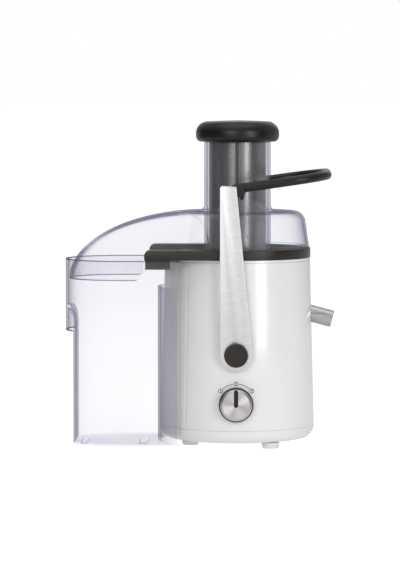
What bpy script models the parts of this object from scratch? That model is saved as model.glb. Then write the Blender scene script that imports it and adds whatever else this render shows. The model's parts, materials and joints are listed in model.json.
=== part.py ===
"""Centrifugal juicer, in metres, +Z up.

The origin is on the table, in the middle of the overall box. +X points to the juice spout,
the pulp container is at -X, and the control knob faces -Y, the near side. Sub-parts hang on
empties: one on the drive axis, and one on the axis of each moving group.
"""

import math

import bmesh
import bpy
from mathutils import Matrix

# Clearances
SEAT_GAP = 0.0003  # between pieces that rest on each other
RUNNING_GAP = 0.001  # round what turns or slides
TURN = 2 * math.pi

# Overall driving dimensions, measured from the drive axis and the table
CONTAINER_REACH = 0.2075
HANDLE_REACH = 0.113
HALF_WIDTH = 0.103  # to the faces of the two pivot caps

# Housing
FOOT_HEIGHT = 0.0075
FOOT_TOP_R = 0.0104
FOOT_BOTTOM_R = 0.009
FRONT_FEET = (0.0405, 0.060)
REAR_FEET = (-0.056, 0.023)
TRAY_HEIGHT = 0.0155
TRAY_CORNER_R = 0.014
TRAY_FLOOR = 0.004
BODY_BOTTOM_R = 0.0926
BODY_TOP_R = 0.0876
BODY_TOP = 0.2251
PANEL_WALL = 0.0024
PANEL_SWEEP = math.radians(262)  # the front panel; the rear cover takes the rest
DECK_RIM = 0.0029
DECK_WALL = 0.002
DECK_GAP = 0.0012  # between panel and deck wall
DECK_DEPTH = 0.0891  # from the top of the housing down to the deck floor
DECK_FLOOR = 0.003
VENT_COUNT = 8
VENT_SPAN = (0.014, 0.036)
VENT_WIDTH = 0.003
GLAND_Z = 0.036
GLAND_R = 0.006
GLAND_BORE_R = 0.0036
GLAND_LENGTH = 0.007
GLAND_DEPTH = 0.008
GLAND_LIP = 0.002

# Juice collector
COLLAR_R = 0.088
COLLAR_HEIGHT = 0.0116
COLLAR_BORE_R = 0.080
TAIL_REACH = 0.109
TAIL_CORNER_R = 0.006
TAIL_DECK = 0.003
RAIL_INNER_Y = 0.064
BOWL_WALL = 0.002
BOWL_CORNER = 0.006
BOWL_TUBE_R = 0.0175
BOWL_TUBE_RISE = 0.036  # above the deck floor
HOOK_DEPTH = 0.0124
HOOK_LENGTH = 0.030
HOOK_WALL = 0.0025
HOOK_Y = 0.059

# Spout
SPOUT_R = 0.0103
SPOUT_WALL = 0.0018
SPOUT_TILT = math.radians(15)
SPOUT_LENGTH = 0.1144  # from the drive axis to the centre of the mouth
SPOUT_RISE = 0.0143  # of that centre, above the deck floor

# Lid
LID_WALL = 0.0022
LID_BOTTOM_R = 0.0865
LID_SHOULDER_R = 0.082
LID_CORNER_R = 0.014
LID_HEIGHT = 0.044  # from the collar to the roof
SKIRT_R = 0.0794
SKIRT_DEPTH = 0.007
HOOD_START = 0.039
HOOD_REACH = 0.203
HOOD_DROP = 0.0815  # from the roof to the lower edge
HOOD_HALF_WIDTH = 0.0615
HOOD_CORNER_R = 0.011
CHUTE_R = 0.040
CHUTE_WALL = 0.0025
CHUTE_RISE = 0.083  # above the roof
CHUTE_DROP = 0.091  # below the roof
GUIDE_RIB = 0.0024
CAM_HEIGHT = 0.019
CAM_BACK = 0.024
CAM_FRONT = 0.038
CAM_Y = 0.056
CAM_WIDTH = 0.005

# Pusher
SLEEVE_R = 0.0342
SLEEVE_WALL = 0.0017
CAP_R = 0.0502
CAP_SKIRT = 0.010  # from the chute to the cap's widest line
CAP_CROWN = 0.016  # from there to its top
CAP_UNDER_R = 0.047
GROOVE_WIDTH = 0.0042
PLUG_HEIGHT = 0.003

# Strainer basket and drive
FEED_GAP = 0.005  # between the chute and the grater
GRATER_R = 0.047
GRATER_PLATE = 0.0015
BASKET_TOP_R = 0.0725
BASKET_DROP = 0.010  # of the rim, below the collar's top
MESH_WALL = 0.0008
RIM_HEIGHT = 0.005
HUB_R = 0.0165
COUPLING_R = 0.0125
COUPLING_LIFT = 0.004  # above the deck floor
COUPLING_LENGTH = 0.026

# Motor
SHAFT_R = 0.004
SHAFT_BOTTOM = 0.0275
STATOR_R = 0.040
STATOR_BORE_R = 0.0225
STATOR_Z = (0.058, 0.100)
WINDING_HEIGHT = 0.0075
COMMUTATOR_R = 0.0115
COMMUTATOR_Z = (0.1085, 0.1185)
FRAME_R = 0.055
FRAME_PLATE = 0.003
FRAME_LOW_Z = 0.0255
FRAME_DROP = 0.016  # of the upper frame, below the deck floor
BEARING_R = 0.011
BEARING_HEIGHT = 0.007
PILLAR_R = 0.004
PILLAR_CIRCLE = 0.048
PILLARS = 3
FAN_R = 0.036
FAN_Z = 0.040
FAN_BLADES = 9
FAN_BLADE_HEIGHT = 0.007
MOUNT_R = 0.007
SCREW_R = 0.0018
SCREW_HEAD_R = 0.004
HEAD_SHARE = 0.6  # of the tray's floor, taken by the screw's head

# Lock
PIVOT_Z = 0.114
ARM_END_R = 0.0193
ARM_RISE = 0.033  # above the roof
ARM_TOP_WIDTH = 0.0195
ARM_SHEET = 0.002
ARM_Y = 0.095
PIN_R = 0.005
BUSH_WALL = 0.002
FLANGE_R = 0.0095  # of the pin's head and the bush's outer end
PIN_HEAD = 0.0025
INTERLOCK_LENGTH = 0.014
PIVOT_CAP_R = 0.01425
BAR_R = 0.0055
BOW_Y = 0.084
BOW_CORNER_R = 0.048
BOW_TILT = math.radians(8)
BOW_RISE = 0.0293  # above the roof
HUB_BLOCK = (0.024, 0.0125)
LUG = (0.0085, 0.004)

# Knob
KNOB_Z = 0.055
KNOB_R = 0.0205
KNOB_FACE_R = 0.019
KNOB_SHAFT_R = 0.003
POINTER = (0.0044, 0.0205)

# Pulp container
CONTAINER_DROP = 0.0017  # of the rim, below the collar
CONTAINER_WALL = 0.0022
CONTAINER_END_R = 0.067
CONTAINER_FLOOR_Z = 0.0025
CONTAINER_CORNER_R = 0.008
CONTAINER_GAP = 0.0014
GRIP_DEPTH = 0.0109
GRIP_LIP_Z = 0.137
GRIP_TOP_Z = 0.166
MOUTH_DROP = 0.0095  # of the wall that faces the body, low enough to pass under the hood

# Places that follow from the sizes above
TRAY_TOP = FOOT_HEIGHT + TRAY_HEIGHT
DECK_FLOOR_Z = BODY_TOP - DECK_DEPTH
BOWL_TUBE_TOP = DECK_FLOOR_Z + BOWL_TUBE_RISE
SPOUT_END = (SPOUT_LENGTH, DECK_FLOOR_Z + SPOUT_RISE)
COUPLING_BOTTOM = DECK_FLOOR_Z + COUPLING_LIFT
COUPLING_TOP = COUPLING_BOTTOM + COUPLING_LENGTH
FRAME_HIGH_Z = DECK_FLOOR_Z - FRAME_DROP
SPOUT_REACH = SPOUT_END[0] + SPOUT_R * math.sin(SPOUT_TILT)
AXIS_X = (CONTAINER_REACH - max(SPOUT_REACH, HANDLE_REACH)) / 2
COLLAR_Z = BODY_TOP + SEAT_GAP
COLLAR_TOP = COLLAR_Z + COLLAR_HEIGHT
TAIL_DECK_TOP = COLLAR_Z + TAIL_DECK
BASKET_TOP = COLLAR_TOP - BASKET_DROP
ROOF_Z = COLLAR_TOP + LID_HEIGHT
HOOD_BOTTOM = ROOF_Z - HOOD_DROP
CHUTE_TOP = ROOF_Z + CHUTE_RISE
CHUTE_BOTTOM = ROOF_Z - CHUTE_DROP
GRATER_Z = CHUTE_BOTTOM - FEED_GAP
CAP_EDGE_Z = CHUTE_TOP + CAP_SKIRT
HEIGHT = CAP_EDGE_Z + CAP_CROWN
ARM_TOP_Z = ROOF_Z + ARM_RISE
BOW_Z = ROOF_Z + BOW_RISE
CONTAINER_TOP = COLLAR_Z - CONTAINER_DROP
MOUTH_Z = HOOD_BOTTOM - MOUTH_DROP
DECK_R = BODY_TOP_R - PANEL_WALL - DECK_GAP
BOWL_R = DECK_R - DECK_WALL - 0.0007
BOWL_Z = DECK_FLOOR_Z + DECK_FLOOR + 0.0035
CONTAINER_CENTRE = CONTAINER_REACH - CONTAINER_END_R

FINISHES = {  # colour, metallic, roughness, alpha
    "white": ((0.86, 0.86, 0.85), 0.0, 0.25, 1.0),
    "dark": ((0.045, 0.035, 0.032), 0.0, 0.35, 1.0),
    "black": ((0.02, 0.018, 0.017), 0.0, 0.4, 1.0),
    "clear": ((0.93, 0.93, 0.97), 0.0, 0.05, 0.3),
    "brushed": ((0.72, 0.72, 0.73), 1.0, 0.35, 1.0),
    "dark_metal": ((0.3, 0.29, 0.29), 1.0, 0.3, 1.0),
    "steel": ((0.6, 0.6, 0.62), 1.0, 0.3, 1.0),
    "rubber": ((0.05, 0.05, 0.05), 0.0, 0.8, 1.0),
    "foot": ((0.8, 0.8, 0.79), 0.0, 0.6, 1.0),
    "copper": ((0.72, 0.35, 0.18), 1.0, 0.4, 1.0),
    "board": ((0.05, 0.22, 0.1), 0.0, 0.6, 1.0),
    "cast": ((0.5, 0.5, 0.5), 1.0, 0.5, 1.0),
}


# ------------------------------------------------------------------ tools


def clear_scene():
    for old in list(bpy.data.objects):
        bpy.data.objects.remove(old)


def new_collection(name):
    group = bpy.data.collections.new(name)
    bpy.context.scene.collection.children.link(group)
    return group


clear_scene()
JUICER = new_collection("centrifugal_juicer")
CUTTERS = new_collection("cutters")


def empty(name, location, parent=None):
    frame = bpy.data.objects.new(name, None)
    frame.empty_display_size = 0.02
    frame.location = location
    frame.parent = parent
    JUICER.objects.link(frame)
    return frame


def finish_of(name, finish):
    colour, metallic, roughness, alpha = FINISHES[finish]
    material = bpy.data.materials.new(name)
    material.use_nodes = True
    shader = material.node_tree.nodes["Principled BSDF"]
    shader.inputs["Base Color"].default_value = (*colour, 1)
    shader.inputs["Metallic"].default_value = metallic
    shader.inputs["Roughness"].default_value = roughness
    shader.inputs["Alpha"].default_value = alpha
    return material


def add(name, mesh, finish, frame, location=(0, 0, 0), rotation=(0, 0, 0)):
    """Puts a mesh in the scene as a part or, when it has no finish, as a cutter."""
    part = bpy.data.objects.new(name, mesh)
    part.location = location
    part.rotation_euler = rotation
    part.parent = frame
    if finish is None:
        CUTTERS.objects.link(part)
        part.hide_render = True
        part.display_type = "WIRE"
    else:
        JUICER.objects.link(part)
        mesh.materials.append(finish_of(name, finish))
    return part


def turned(name, profile, finish, frame, location=(0, 0, 0), rotation=(0, 0, 0), steps=24, ring=False):
    """A profile of radius and height turned about Z. It runs down its outer side."""
    points = [(radius, 0, height) for radius, height in profile]
    edges = [(i, i + 1) for i in range(len(points) - 1)]
    if ring:
        edges.append((len(points) - 1, 0))
    mesh = bpy.data.meshes.new(name)
    mesh.from_pydata(points, edges, [])
    part = add(name, mesh, finish, frame, location, rotation)
    turn = part.modifiers.new("turn", "SCREW")
    turn.steps = steps
    turn.render_steps = steps
    turn.use_merge_vertices = True
    turn.merge_threshold = 0.00001
    return part


def cylinder(name, radius, low, high, finish, frame, location=(0, 0, 0), rotation=(0, 0, 0), steps=24):
    profile = [(0, high), (radius, high), (radius, low), (0, low)]
    return turned(name, profile, finish, frame, location, rotation, steps)


def tube(name, outer, inner, low, high, finish, frame, location=(0, 0, 0), rotation=(0, 0, 0), steps=24):
    profile = [(outer, high), (outer, low), (inner, low), (inner, high)]
    return turned(name, profile, finish, frame, location, rotation, steps, ring=True)


def block(name, low, high, finish, frame):
    mesh = bpy.data.meshes.new(name)
    cube = bmesh.new()
    bmesh.ops.create_cube(cube, size=1)
    sides = [b - a for a, b in zip(low, high)]
    bmesh.ops.scale(cube, vec=sides, verts=cube.verts)
    cube.to_mesh(mesh)
    cube.free()
    centre = [(a + b) / 2 for a, b in zip(low, high)]
    return add(name, mesh, finish, frame, centre)


def curve_to_mesh(name, curve):
    """The mesh of a curve's tube or filled outline, with its caps welded and facing out."""
    source = bpy.data.objects.new(name, curve)
    bpy.context.scene.collection.objects.link(source)
    bpy.context.view_layer.update()
    graph = bpy.context.evaluated_depsgraph_get()
    mesh = bpy.data.meshes.new_from_object(source.evaluated_get(graph))
    bpy.data.objects.remove(source)
    shape = bmesh.new()
    shape.from_mesh(mesh)
    bmesh.ops.remove_doubles(shape, verts=shape.verts, dist=0.000001)
    bmesh.ops.recalc_face_normals(shape, faces=shape.faces)
    shape.to_mesh(mesh)
    shape.free()
    return mesh


def outlined(name, outline, low, high, finish, frame, upright=False):
    """A flat outline made solid from low to high: over X and Y, or upright over X and Z."""
    curve = bpy.data.curves.new(name, "CURVE")
    curve.dimensions = "2D"
    curve.fill_mode = "BOTH"
    curve.extrude = (high - low) / 2
    line = curve.splines.new("POLY")
    line.points.add(len(outline) - 1)
    line.use_cyclic_u = True
    for point, (across, along) in zip(line.points, outline):
        point.co = (across, along, 0, 1)
    mesh = curve_to_mesh(name, curve)
    middle = (low + high) / 2
    if upright:
        return add(name, mesh, finish, frame, (0, middle, 0), (math.pi / 2, 0, 0))
    return add(name, mesh, finish, frame, (0, 0, middle))


def arc(centre, radius, start, end, steps):
    """Points round a circle or, for a pair of radii, an ellipse; angles in degrees."""
    wide, tall = radius if isinstance(radius, tuple) else (radius, radius)
    angles = [math.radians(start + (end - start) * i / steps) for i in range(steps + 1)]
    return [(centre[0] + wide * math.cos(a), centre[1] + tall * math.sin(a)) for a in angles]


def combine(part, operation, other):
    step = part.modifiers.new(operation.lower(), "BOOLEAN")
    step.operation = operation
    step.solver = "EXACT"
    step.object = other
    return part


def round_edges(part, width, segments=2):
    edge = part.modifiers.new("edges", "BEVEL")
    edge.width = width
    edge.segments = segments
    edge.limit_method = "ANGLE"
    edge.angle_limit = math.radians(40)
    return part


def body_radius(height):
    """The housing's outer radius: a slight, even taper."""
    share = (height - TRAY_TOP) / (BODY_TOP - TRAY_TOP)
    return BODY_BOTTOM_R + (BODY_TOP_R - BODY_BOTTOM_R) * share


def round_the_axis(count, radius, start=0):
    """Places spaced evenly on a circle about the drive axis."""
    angles = [start + TURN * i / count for i in range(count)]
    return [(radius * math.cos(a), radius * math.sin(a)) for a in angles]


AXIS = empty("drive_axis", (AXIS_X, 0, 0))
LOCK_AXIS = empty("lock_axis", (0, 0, PIVOT_Z), AXIS)
KNOB_AXIS = empty("knob_axis", (0, 0, KNOB_Z), AXIS)
CONTAINER_FRAME = empty("container_slide", (0, 0, 0), AXIS)
PUSHER_AXIS = empty("pusher_axis", (0, 0, 0), AXIS)
# Turned pieces on the near and far sides point outwards along their own Z.
SIDES = (("near", math.pi / 2, -1), ("far", -math.pi / 2, 1))


# ------------------------------------------------------------------ housing


def make_feet():
    top = FOOT_HEIGHT - SEAT_GAP
    profile = [(0, top), (FOOT_TOP_R, top), (FOOT_TOP_R, FOOT_HEIGHT * 0.6), (FOOT_BOTTOM_R, 0), (0, 0)]
    for end, (x, y) in (("front", FRONT_FEET), ("rear", REAR_FEET)):
        for side, _, direction in SIDES:
            turned(f"foot_{end}_{side}", profile, "foot", AXIS, (x, direction * y, 0))


def make_base_tray():
    inner_corner = TRAY_CORNER_R - PANEL_WALL
    centre_r = BODY_BOTTOM_R - TRAY_CORNER_R
    floor_top = FOOT_HEIGHT + TRAY_FLOOR
    inner_r = BODY_BOTTOM_R - PANEL_WALL
    profile = [(BODY_BOTTOM_R, TRAY_TOP)]
    profile += arc((centre_r, FOOT_HEIGHT + TRAY_CORNER_R), TRAY_CORNER_R, 0, -90, 4)
    profile += [(0, FOOT_HEIGHT), (0, floor_top)]
    profile += arc((centre_r, floor_top + inner_corner), inner_corner, -90, 0, 3)[:-1]
    profile += [(inner_r, floor_top + inner_corner * 0.9), (inner_r, TRAY_TOP)]
    tray = turned("base_tray", profile, "white", AXIS, steps=40, ring=True)
    for x, y in round_the_axis(PILLARS, PILLAR_CIRCLE):
        hole = cylinder("screw_hole", SCREW_R + SEAT_GAP, 0, TRAY_TOP, None, AXIS, (x, y, 0), steps=12)
        combine(tray, "DIFFERENCE", hole)
        head_r = SCREW_HEAD_R + SEAT_GAP
        recess_top = FOOT_HEIGHT + TRAY_FLOOR * HEAD_SHARE
        recess = cylinder("head_recess", head_r, 0, recess_top, None, AXIS, (x, y, 0), steps=16)
        combine(tray, "DIFFERENCE", recess)
    for i in range(VENT_COUNT):
        low = (VENT_SPAN[0], -VENT_WIDTH / 2, 0)
        vent = block("vent", low, (VENT_SPAN[1], VENT_WIDTH / 2, TRAY_TOP), None, AXIS)
        vent.matrix_basis = Matrix.Rotation(TURN * (i + 0.5) / VENT_COUNT, 4, "Z") @ vent.matrix_basis
        combine(tray, "DIFFERENCE", vent)


def body_shell(name, sweep, middle, steps):
    """A sector of the housing wall that spans sweep about the direction middle."""
    low = TRAY_TOP + SEAT_GAP
    high = BODY_TOP - DECK_RIM - SEAT_GAP
    profile = [(body_radius(high), high), (body_radius(low), low)]
    shell = turned(name, profile, "white", AXIS, rotation=(0, 0, middle - sweep / 2), steps=steps)
    shell.modifiers["turn"].angle = sweep
    wall = shell.modifiers.new("wall", "SOLIDIFY")
    wall.thickness = PANEL_WALL
    wall.offset = -1
    return shell


def spout_cutter(name, gap):
    """A rod along the spout's axis, long enough to go through the walls it passes."""
    place = (SPOUT_END[0], 0, SPOUT_END[1])
    turn = (0, math.pi / 2 + SPOUT_TILT, 0)
    return cylinder(name, SPOUT_R + gap, -0.055, 0.02, None, AXIS, place, turn)


def make_housing():
    front = body_shell("front_panel", PANEL_SWEEP, 0, 46)
    seam = SEAT_GAP / BODY_TOP_R
    body_shell("rear_cover", TURN - PANEL_SWEEP - 2 * seam, math.pi, 17)
    combine(front, "DIFFERENCE", spout_cutter("panel_spout_hole", RUNNING_GAP))
    for side, turn, _ in SIDES:
        hole_r = PIN_R + BUSH_WALL + SEAT_GAP
        hole = cylinder(f"pivot_hole_{side}", hole_r, 0.07, 0.11, None, LOCK_AXIS, rotation=(turn, 0, 0))
        combine(front, "DIFFERENCE", hole)
    turn = (math.pi / 2, 0, 0)
    shaft_hole = cylinder("knob_hole", KNOB_SHAFT_R + RUNNING_GAP, 0.07, 0.11, None, KNOB_AXIS, rotation=turn)
    combine(front, "DIFFERENCE", shaft_hole)
    return front


def make_cord_gland(front):
    """A short rubber gland low on the far side."""
    wall_r = body_radius(GLAND_Z)
    place = (0, 0, GLAND_Z)
    turn = (-math.pi / 2, 0, 0)
    hole = cylinder("gland_hole", GLAND_R + SEAT_GAP, 0.07, 0.11, None, AXIS, place, turn, steps=16)
    combine(front, "DIFFERENCE", hole)
    flange = wall_r + SEAT_GAP
    end = flange + GLAND_LENGTH
    inner_end = wall_r - GLAND_DEPTH
    lip_r = GLAND_R + GLAND_LIP
    profile = [(GLAND_BORE_R + 0.0009, end), (lip_r, flange + GLAND_LIP), (lip_r, flange)]
    profile += [(GLAND_R, flange), (GLAND_R, inner_end), (GLAND_BORE_R, inner_end), (GLAND_BORE_R, end)]
    turned("cord_gland", profile, "rubber", AXIS, place, turn, steps=16, ring=True)


def make_motor_deck():
    rim_r = body_radius(BODY_TOP)
    rim_z = BODY_TOP - DECK_RIM
    hole_r = HUB_R
    floor_top = DECK_FLOOR_Z + DECK_FLOOR
    profile = [(rim_r, BODY_TOP), (rim_r, rim_z), (DECK_R, rim_z), (DECK_R, DECK_FLOOR_Z)]
    profile += [(hole_r, DECK_FLOOR_Z), (hole_r, floor_top)]
    profile += [(DECK_R - DECK_WALL, floor_top), (DECK_R - DECK_WALL, BODY_TOP)]
    deck = turned("motor_deck", profile, "white", AXIS, steps=40, ring=True)
    combine(deck, "DIFFERENCE", spout_cutter("deck_spout_hole", RUNNING_GAP))
    low = DECK_FLOOR_Z + SEAT_GAP
    tube("shaft_seal", hole_r - SEAT_GAP, SHAFT_R + SEAT_GAP, low, low + 0.002, "rubber", AXIS)


# ------------------------------------------------------------------ collector and spout


def make_collector():
    plan = arc((0, 0), COLLAR_R, 90, -90, 24) + [(-TAIL_REACH, -COLLAR_R), (-TAIL_REACH, COLLAR_R)]
    collar = outlined("juice_collector", plan, COLLAR_Z, COLLAR_TOP, "dark", AXIS)
    corner = (-TAIL_REACH + TAIL_CORNER_R, COLLAR_TOP - TAIL_CORNER_R)
    side = arc(corner, TAIL_CORNER_R, 180, 90, 5) + [(COLLAR_R + 0.01, COLLAR_TOP)]
    side += [(COLLAR_R + 0.01, COLLAR_Z - 0.01), (-TAIL_REACH, COLLAR_Z - 0.01)]
    side = [(x, z + 0.00001) for x, z in side]
    rounding = outlined("tail_rounding", side, -0.1, 0.1, None, AXIS, upright=True)
    combine(collar, "INTERSECT", rounding)
    combine(collar, "DIFFERENCE", cylinder("collar_bore", COLLAR_BORE_R, 0.1, 0.3, None, AXIS, steps=40))
    low = (-TAIL_REACH - 0.02, -RAIL_INNER_Y, TAIL_DECK_TOP)
    channel = block("pulp_channel", low, (-0.03, RAIL_INNER_Y, COLLAR_TOP + 0.02), None, AXIS)
    combine(collar, "DIFFERENCE", channel)
    outer = BOWL_R
    inner = BOWL_R - BOWL_WALL
    top = TAIL_DECK_TOP - 0.001
    profile = [(outer, top), (outer, BOWL_Z + BOWL_CORNER), (outer - BOWL_CORNER, BOWL_Z)]
    profile += [(BOWL_TUBE_R, BOWL_Z), (BOWL_TUBE_R, BOWL_TUBE_TOP), (BOWL_TUBE_R + BOWL_WALL, BOWL_TUBE_TOP)]
    profile += [(BOWL_TUBE_R + BOWL_WALL, BOWL_Z + BOWL_WALL), (inner - BOWL_CORNER, BOWL_Z + BOWL_WALL)]
    profile += [(inner, BOWL_Z + BOWL_WALL + BOWL_CORNER), (inner, top)]
    combine(collar, "UNION", turned("bowl", profile, None, AXIS, steps=40, ring=True))
    for side_name, _, direction in SIDES:
        ys = sorted((direction * HOOK_Y, direction * (HOOK_Y + HOOK_WALL)))
        low = (-TAIL_REACH, ys[0], COLLAR_Z - HOOK_DEPTH)
        high = (-TAIL_REACH + HOOK_LENGTH, ys[1], COLLAR_Z + 0.001)
        combine(collar, "UNION", block(f"hook_{side_name}", low, high, None, AXIS))
    combine(collar, "DIFFERENCE", spout_cutter("bowl_spout_hole", SEAT_GAP))


def make_spout():
    place = (SPOUT_END[0], 0, SPOUT_END[1])
    start = (SPOUT_END[0] - (BOWL_R - BOWL_WALL - 0.001)) / math.cos(SPOUT_TILT)
    turn = (0, math.pi / 2 + SPOUT_TILT, 0)
    tube("spout_tube", SPOUT_R, SPOUT_R - SPOUT_WALL, -start, 0, "brushed", AXIS, place, turn, steps=32)


# ------------------------------------------------------------------ lid


def hood_form(name, inset, inside_low):
    """The hood's form: its side outline cut to its plan. With an inset it is the inside."""
    half = HOOD_HALF_WIDTH - inset
    reach = HOOD_REACH - inset
    roof = ROOF_Z - inset
    radii = (reach - HOOD_START, roof - HOOD_BOTTOM)
    # It starts a little way down the curve, so that its top lies just under the roof.
    side = arc((-HOOD_START, HOOD_BOTTOM), radii, 92 if inset else 94, 180, 12)
    start = side[0][0]
    if inset:
        side += [(-reach, inside_low), (start, inside_low)]
    else:
        edge = -TAIL_REACH - 0.003
        side += arc((edge - HOOD_CORNER_R, HOOD_BOTTOM + HOOD_CORNER_R), HOOD_CORNER_R, -90, 0, 5)
        side += [(edge, TAIL_DECK_TOP + 0.0005), (start, TAIL_DECK_TOP + 0.0005)]
    form = outlined(name, side, -0.1, 0.1, None, AXIS, upright=True)
    plan = arc((-HOOD_REACH + HOOD_HALF_WIDTH, 0), half, 90, 270, 16) + [(0, -half), (0, half)]
    plan_form = outlined(name + "_plan", plan, HOOD_BOTTOM - 0.03, ROOF_Z + 0.03, None, AXIS)
    return combine(form, "INTERSECT", plan_form)


def lid_profile(inset):
    """Roof, rounded corner and slightly leaning wall, from the axis out and down."""
    corner = LID_CORNER_R - inset
    centre = (LID_SHOULDER_R - LID_CORNER_R, ROOF_Z - LID_CORNER_R)
    points = [(0, ROOF_Z - inset)] + arc(centre, corner, 90, 8, 4)
    return points


def make_lid():
    wall_bottom = COLLAR_TOP + SEAT_GAP
    skirt_bottom = COLLAR_TOP - SKIRT_DEPTH
    profile = lid_profile(0) + [(LID_BOTTOM_R, wall_bottom), (SKIRT_R, wall_bottom), (SKIRT_R, skirt_bottom)]
    lid = turned("lid", profile + [(0, skirt_bottom)], "clear", AXIS, steps=40)
    combine(lid, "UNION", hood_form("hood", 0, 0))
    foot = ROOF_Z - LID_WALL / 2
    ramp = arc((0, foot), (CAM_BACK, CAM_HEIGHT + LID_WALL / 2), 180, 90, 6)
    ramp += arc((0, foot), (CAM_FRONT, CAM_HEIGHT + LID_WALL / 2), 90, 0, 8)[1:]
    for side, _, direction in SIDES:
        ys = sorted((direction * CAM_Y, direction * (CAM_Y + CAM_WIDTH)))
        combine(lid, "UNION", outlined(f"cam_{side}", ramp, *ys, None, AXIS, upright=True))
    floor = skirt_bottom - 0.01
    skirt_inner = SKIRT_R - LID_WALL
    profile = lid_profile(LID_WALL) + [(LID_BOTTOM_R - LID_WALL, wall_bottom + LID_WALL)]
    profile += [(skirt_inner, wall_bottom + LID_WALL), (skirt_inner, floor), (0, floor)]
    combine(lid, "DIFFERENCE", turned("lid_inside", profile, None, AXIS, steps=40))
    combine(lid, "DIFFERENCE", hood_form("hood_inside", LID_WALL, HOOD_BOTTOM - 0.02))
    combine(lid, "UNION", cylinder("chute_outside", CHUTE_R, CHUTE_BOTTOM, CHUTE_TOP, None, AXIS, steps=40))
    low = CHUTE_BOTTOM - 0.01
    bore = cylinder("chute_bore", CHUTE_R - CHUTE_WALL, low, CHUTE_TOP + 0.01, None, AXIS, steps=40)
    combine(lid, "DIFFERENCE", bore)
    low = (-GUIDE_RIB / 2, -CHUTE_R + CHUTE_WALL / 2, CHUTE_BOTTOM + 0.01)
    high = (GUIDE_RIB / 2, -SLEEVE_R + 0.0012, CHUTE_TOP - 0.006)
    combine(lid, "UNION", block("guide_rib", low, high, None, AXIS))


# ------------------------------------------------------------------ pusher


def make_pusher():
    cap_bottom = CHUTE_TOP + SEAT_GAP
    sleeve_top = cap_bottom - SEAT_GAP
    plug_z = CHUTE_BOTTOM + 0.0005
    sleeve_z = plug_z + PLUG_HEIGHT + SEAT_GAP
    inside = SLEEVE_R - SLEEVE_WALL
    low, high = sleeve_z, sleeve_top
    sleeve = tube("pusher_sleeve", SLEEVE_R, inside, low, high, "dark_metal", PUSHER_AXIS, steps=40)
    low = (-GROOVE_WIDTH / 2, -SLEEVE_R - 0.01, sleeve_z - 0.01)
    high = (GROOVE_WIDTH / 2, -inside + 0.002, sleeve_top - 0.004)
    combine(sleeve, "DIFFERENCE", block("groove", low, high, None, PUSHER_AXIS))
    spigot_r = inside - SEAT_GAP
    guide_out = inside - 0.0006
    guide_y = (-math.sqrt(guide_out**2 - (GROOVE_WIDTH * 0.8) ** 2), -inside + 0.004)
    plug = [(0, sleeve_z + 0.004), (spigot_r, sleeve_z + 0.004), (spigot_r, sleeve_z - SEAT_GAP)]
    plug += [(SLEEVE_R, sleeve_z - SEAT_GAP), (SLEEVE_R, plug_z + 0.001)]
    plug += [(SLEEVE_R - 0.001, plug_z), (0, plug_z)]
    plug_part = turned("pusher_plug", plug, "black", PUSHER_AXIS, steps=32)
    guide_low = sleeve_z + 0.0045
    guide_high = sleeve_top - 0.009
    low = (-GROOVE_WIDTH * 0.8, guide_y[0], guide_low)
    high = (GROOVE_WIDTH * 0.8, guide_y[1], guide_high)
    block("pusher_guide", low, high, "black", PUSHER_AXIS)
    notch = (-GROOVE_WIDTH / 2, -SLEEVE_R - 0.01, plug_z - 0.01)
    notch_high = (GROOVE_WIDTH / 2, -SLEEVE_R + 0.0026, sleeve_z + 0.01)
    combine(plug_part, "DIFFERENCE", block("plug_notch", notch, notch_high, None, PUSHER_AXIS))
    crown = HEIGHT - CAP_EDGE_Z
    profile = [(0, HEIGHT)] + arc((CAP_R - crown * 1.3, CAP_EDGE_Z), (crown * 1.3, crown), 90, 0, 5)
    profile += [(CAP_R - 0.0008, CAP_EDGE_Z - 0.004), (CAP_UNDER_R, cap_bottom), (spigot_r, cap_bottom)]
    profile += [(spigot_r, sleeve_top - 0.008), (0, sleeve_top - 0.008)]
    cap = turned("pusher_cap", profile, "black", PUSHER_AXIS, steps=36)
    low = (-GROOVE_WIDTH / 2, -CAP_UNDER_R, sleeve_top - 0.02)
    high = (GROOVE_WIDTH / 2, -SLEEVE_R + 0.0026, cap_bottom - SEAT_GAP / 2)
    combine(cap, "DIFFERENCE", block("cap_notch", low, high, None, PUSHER_AXIS))


# ------------------------------------------------------------------ basket and motor


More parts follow.
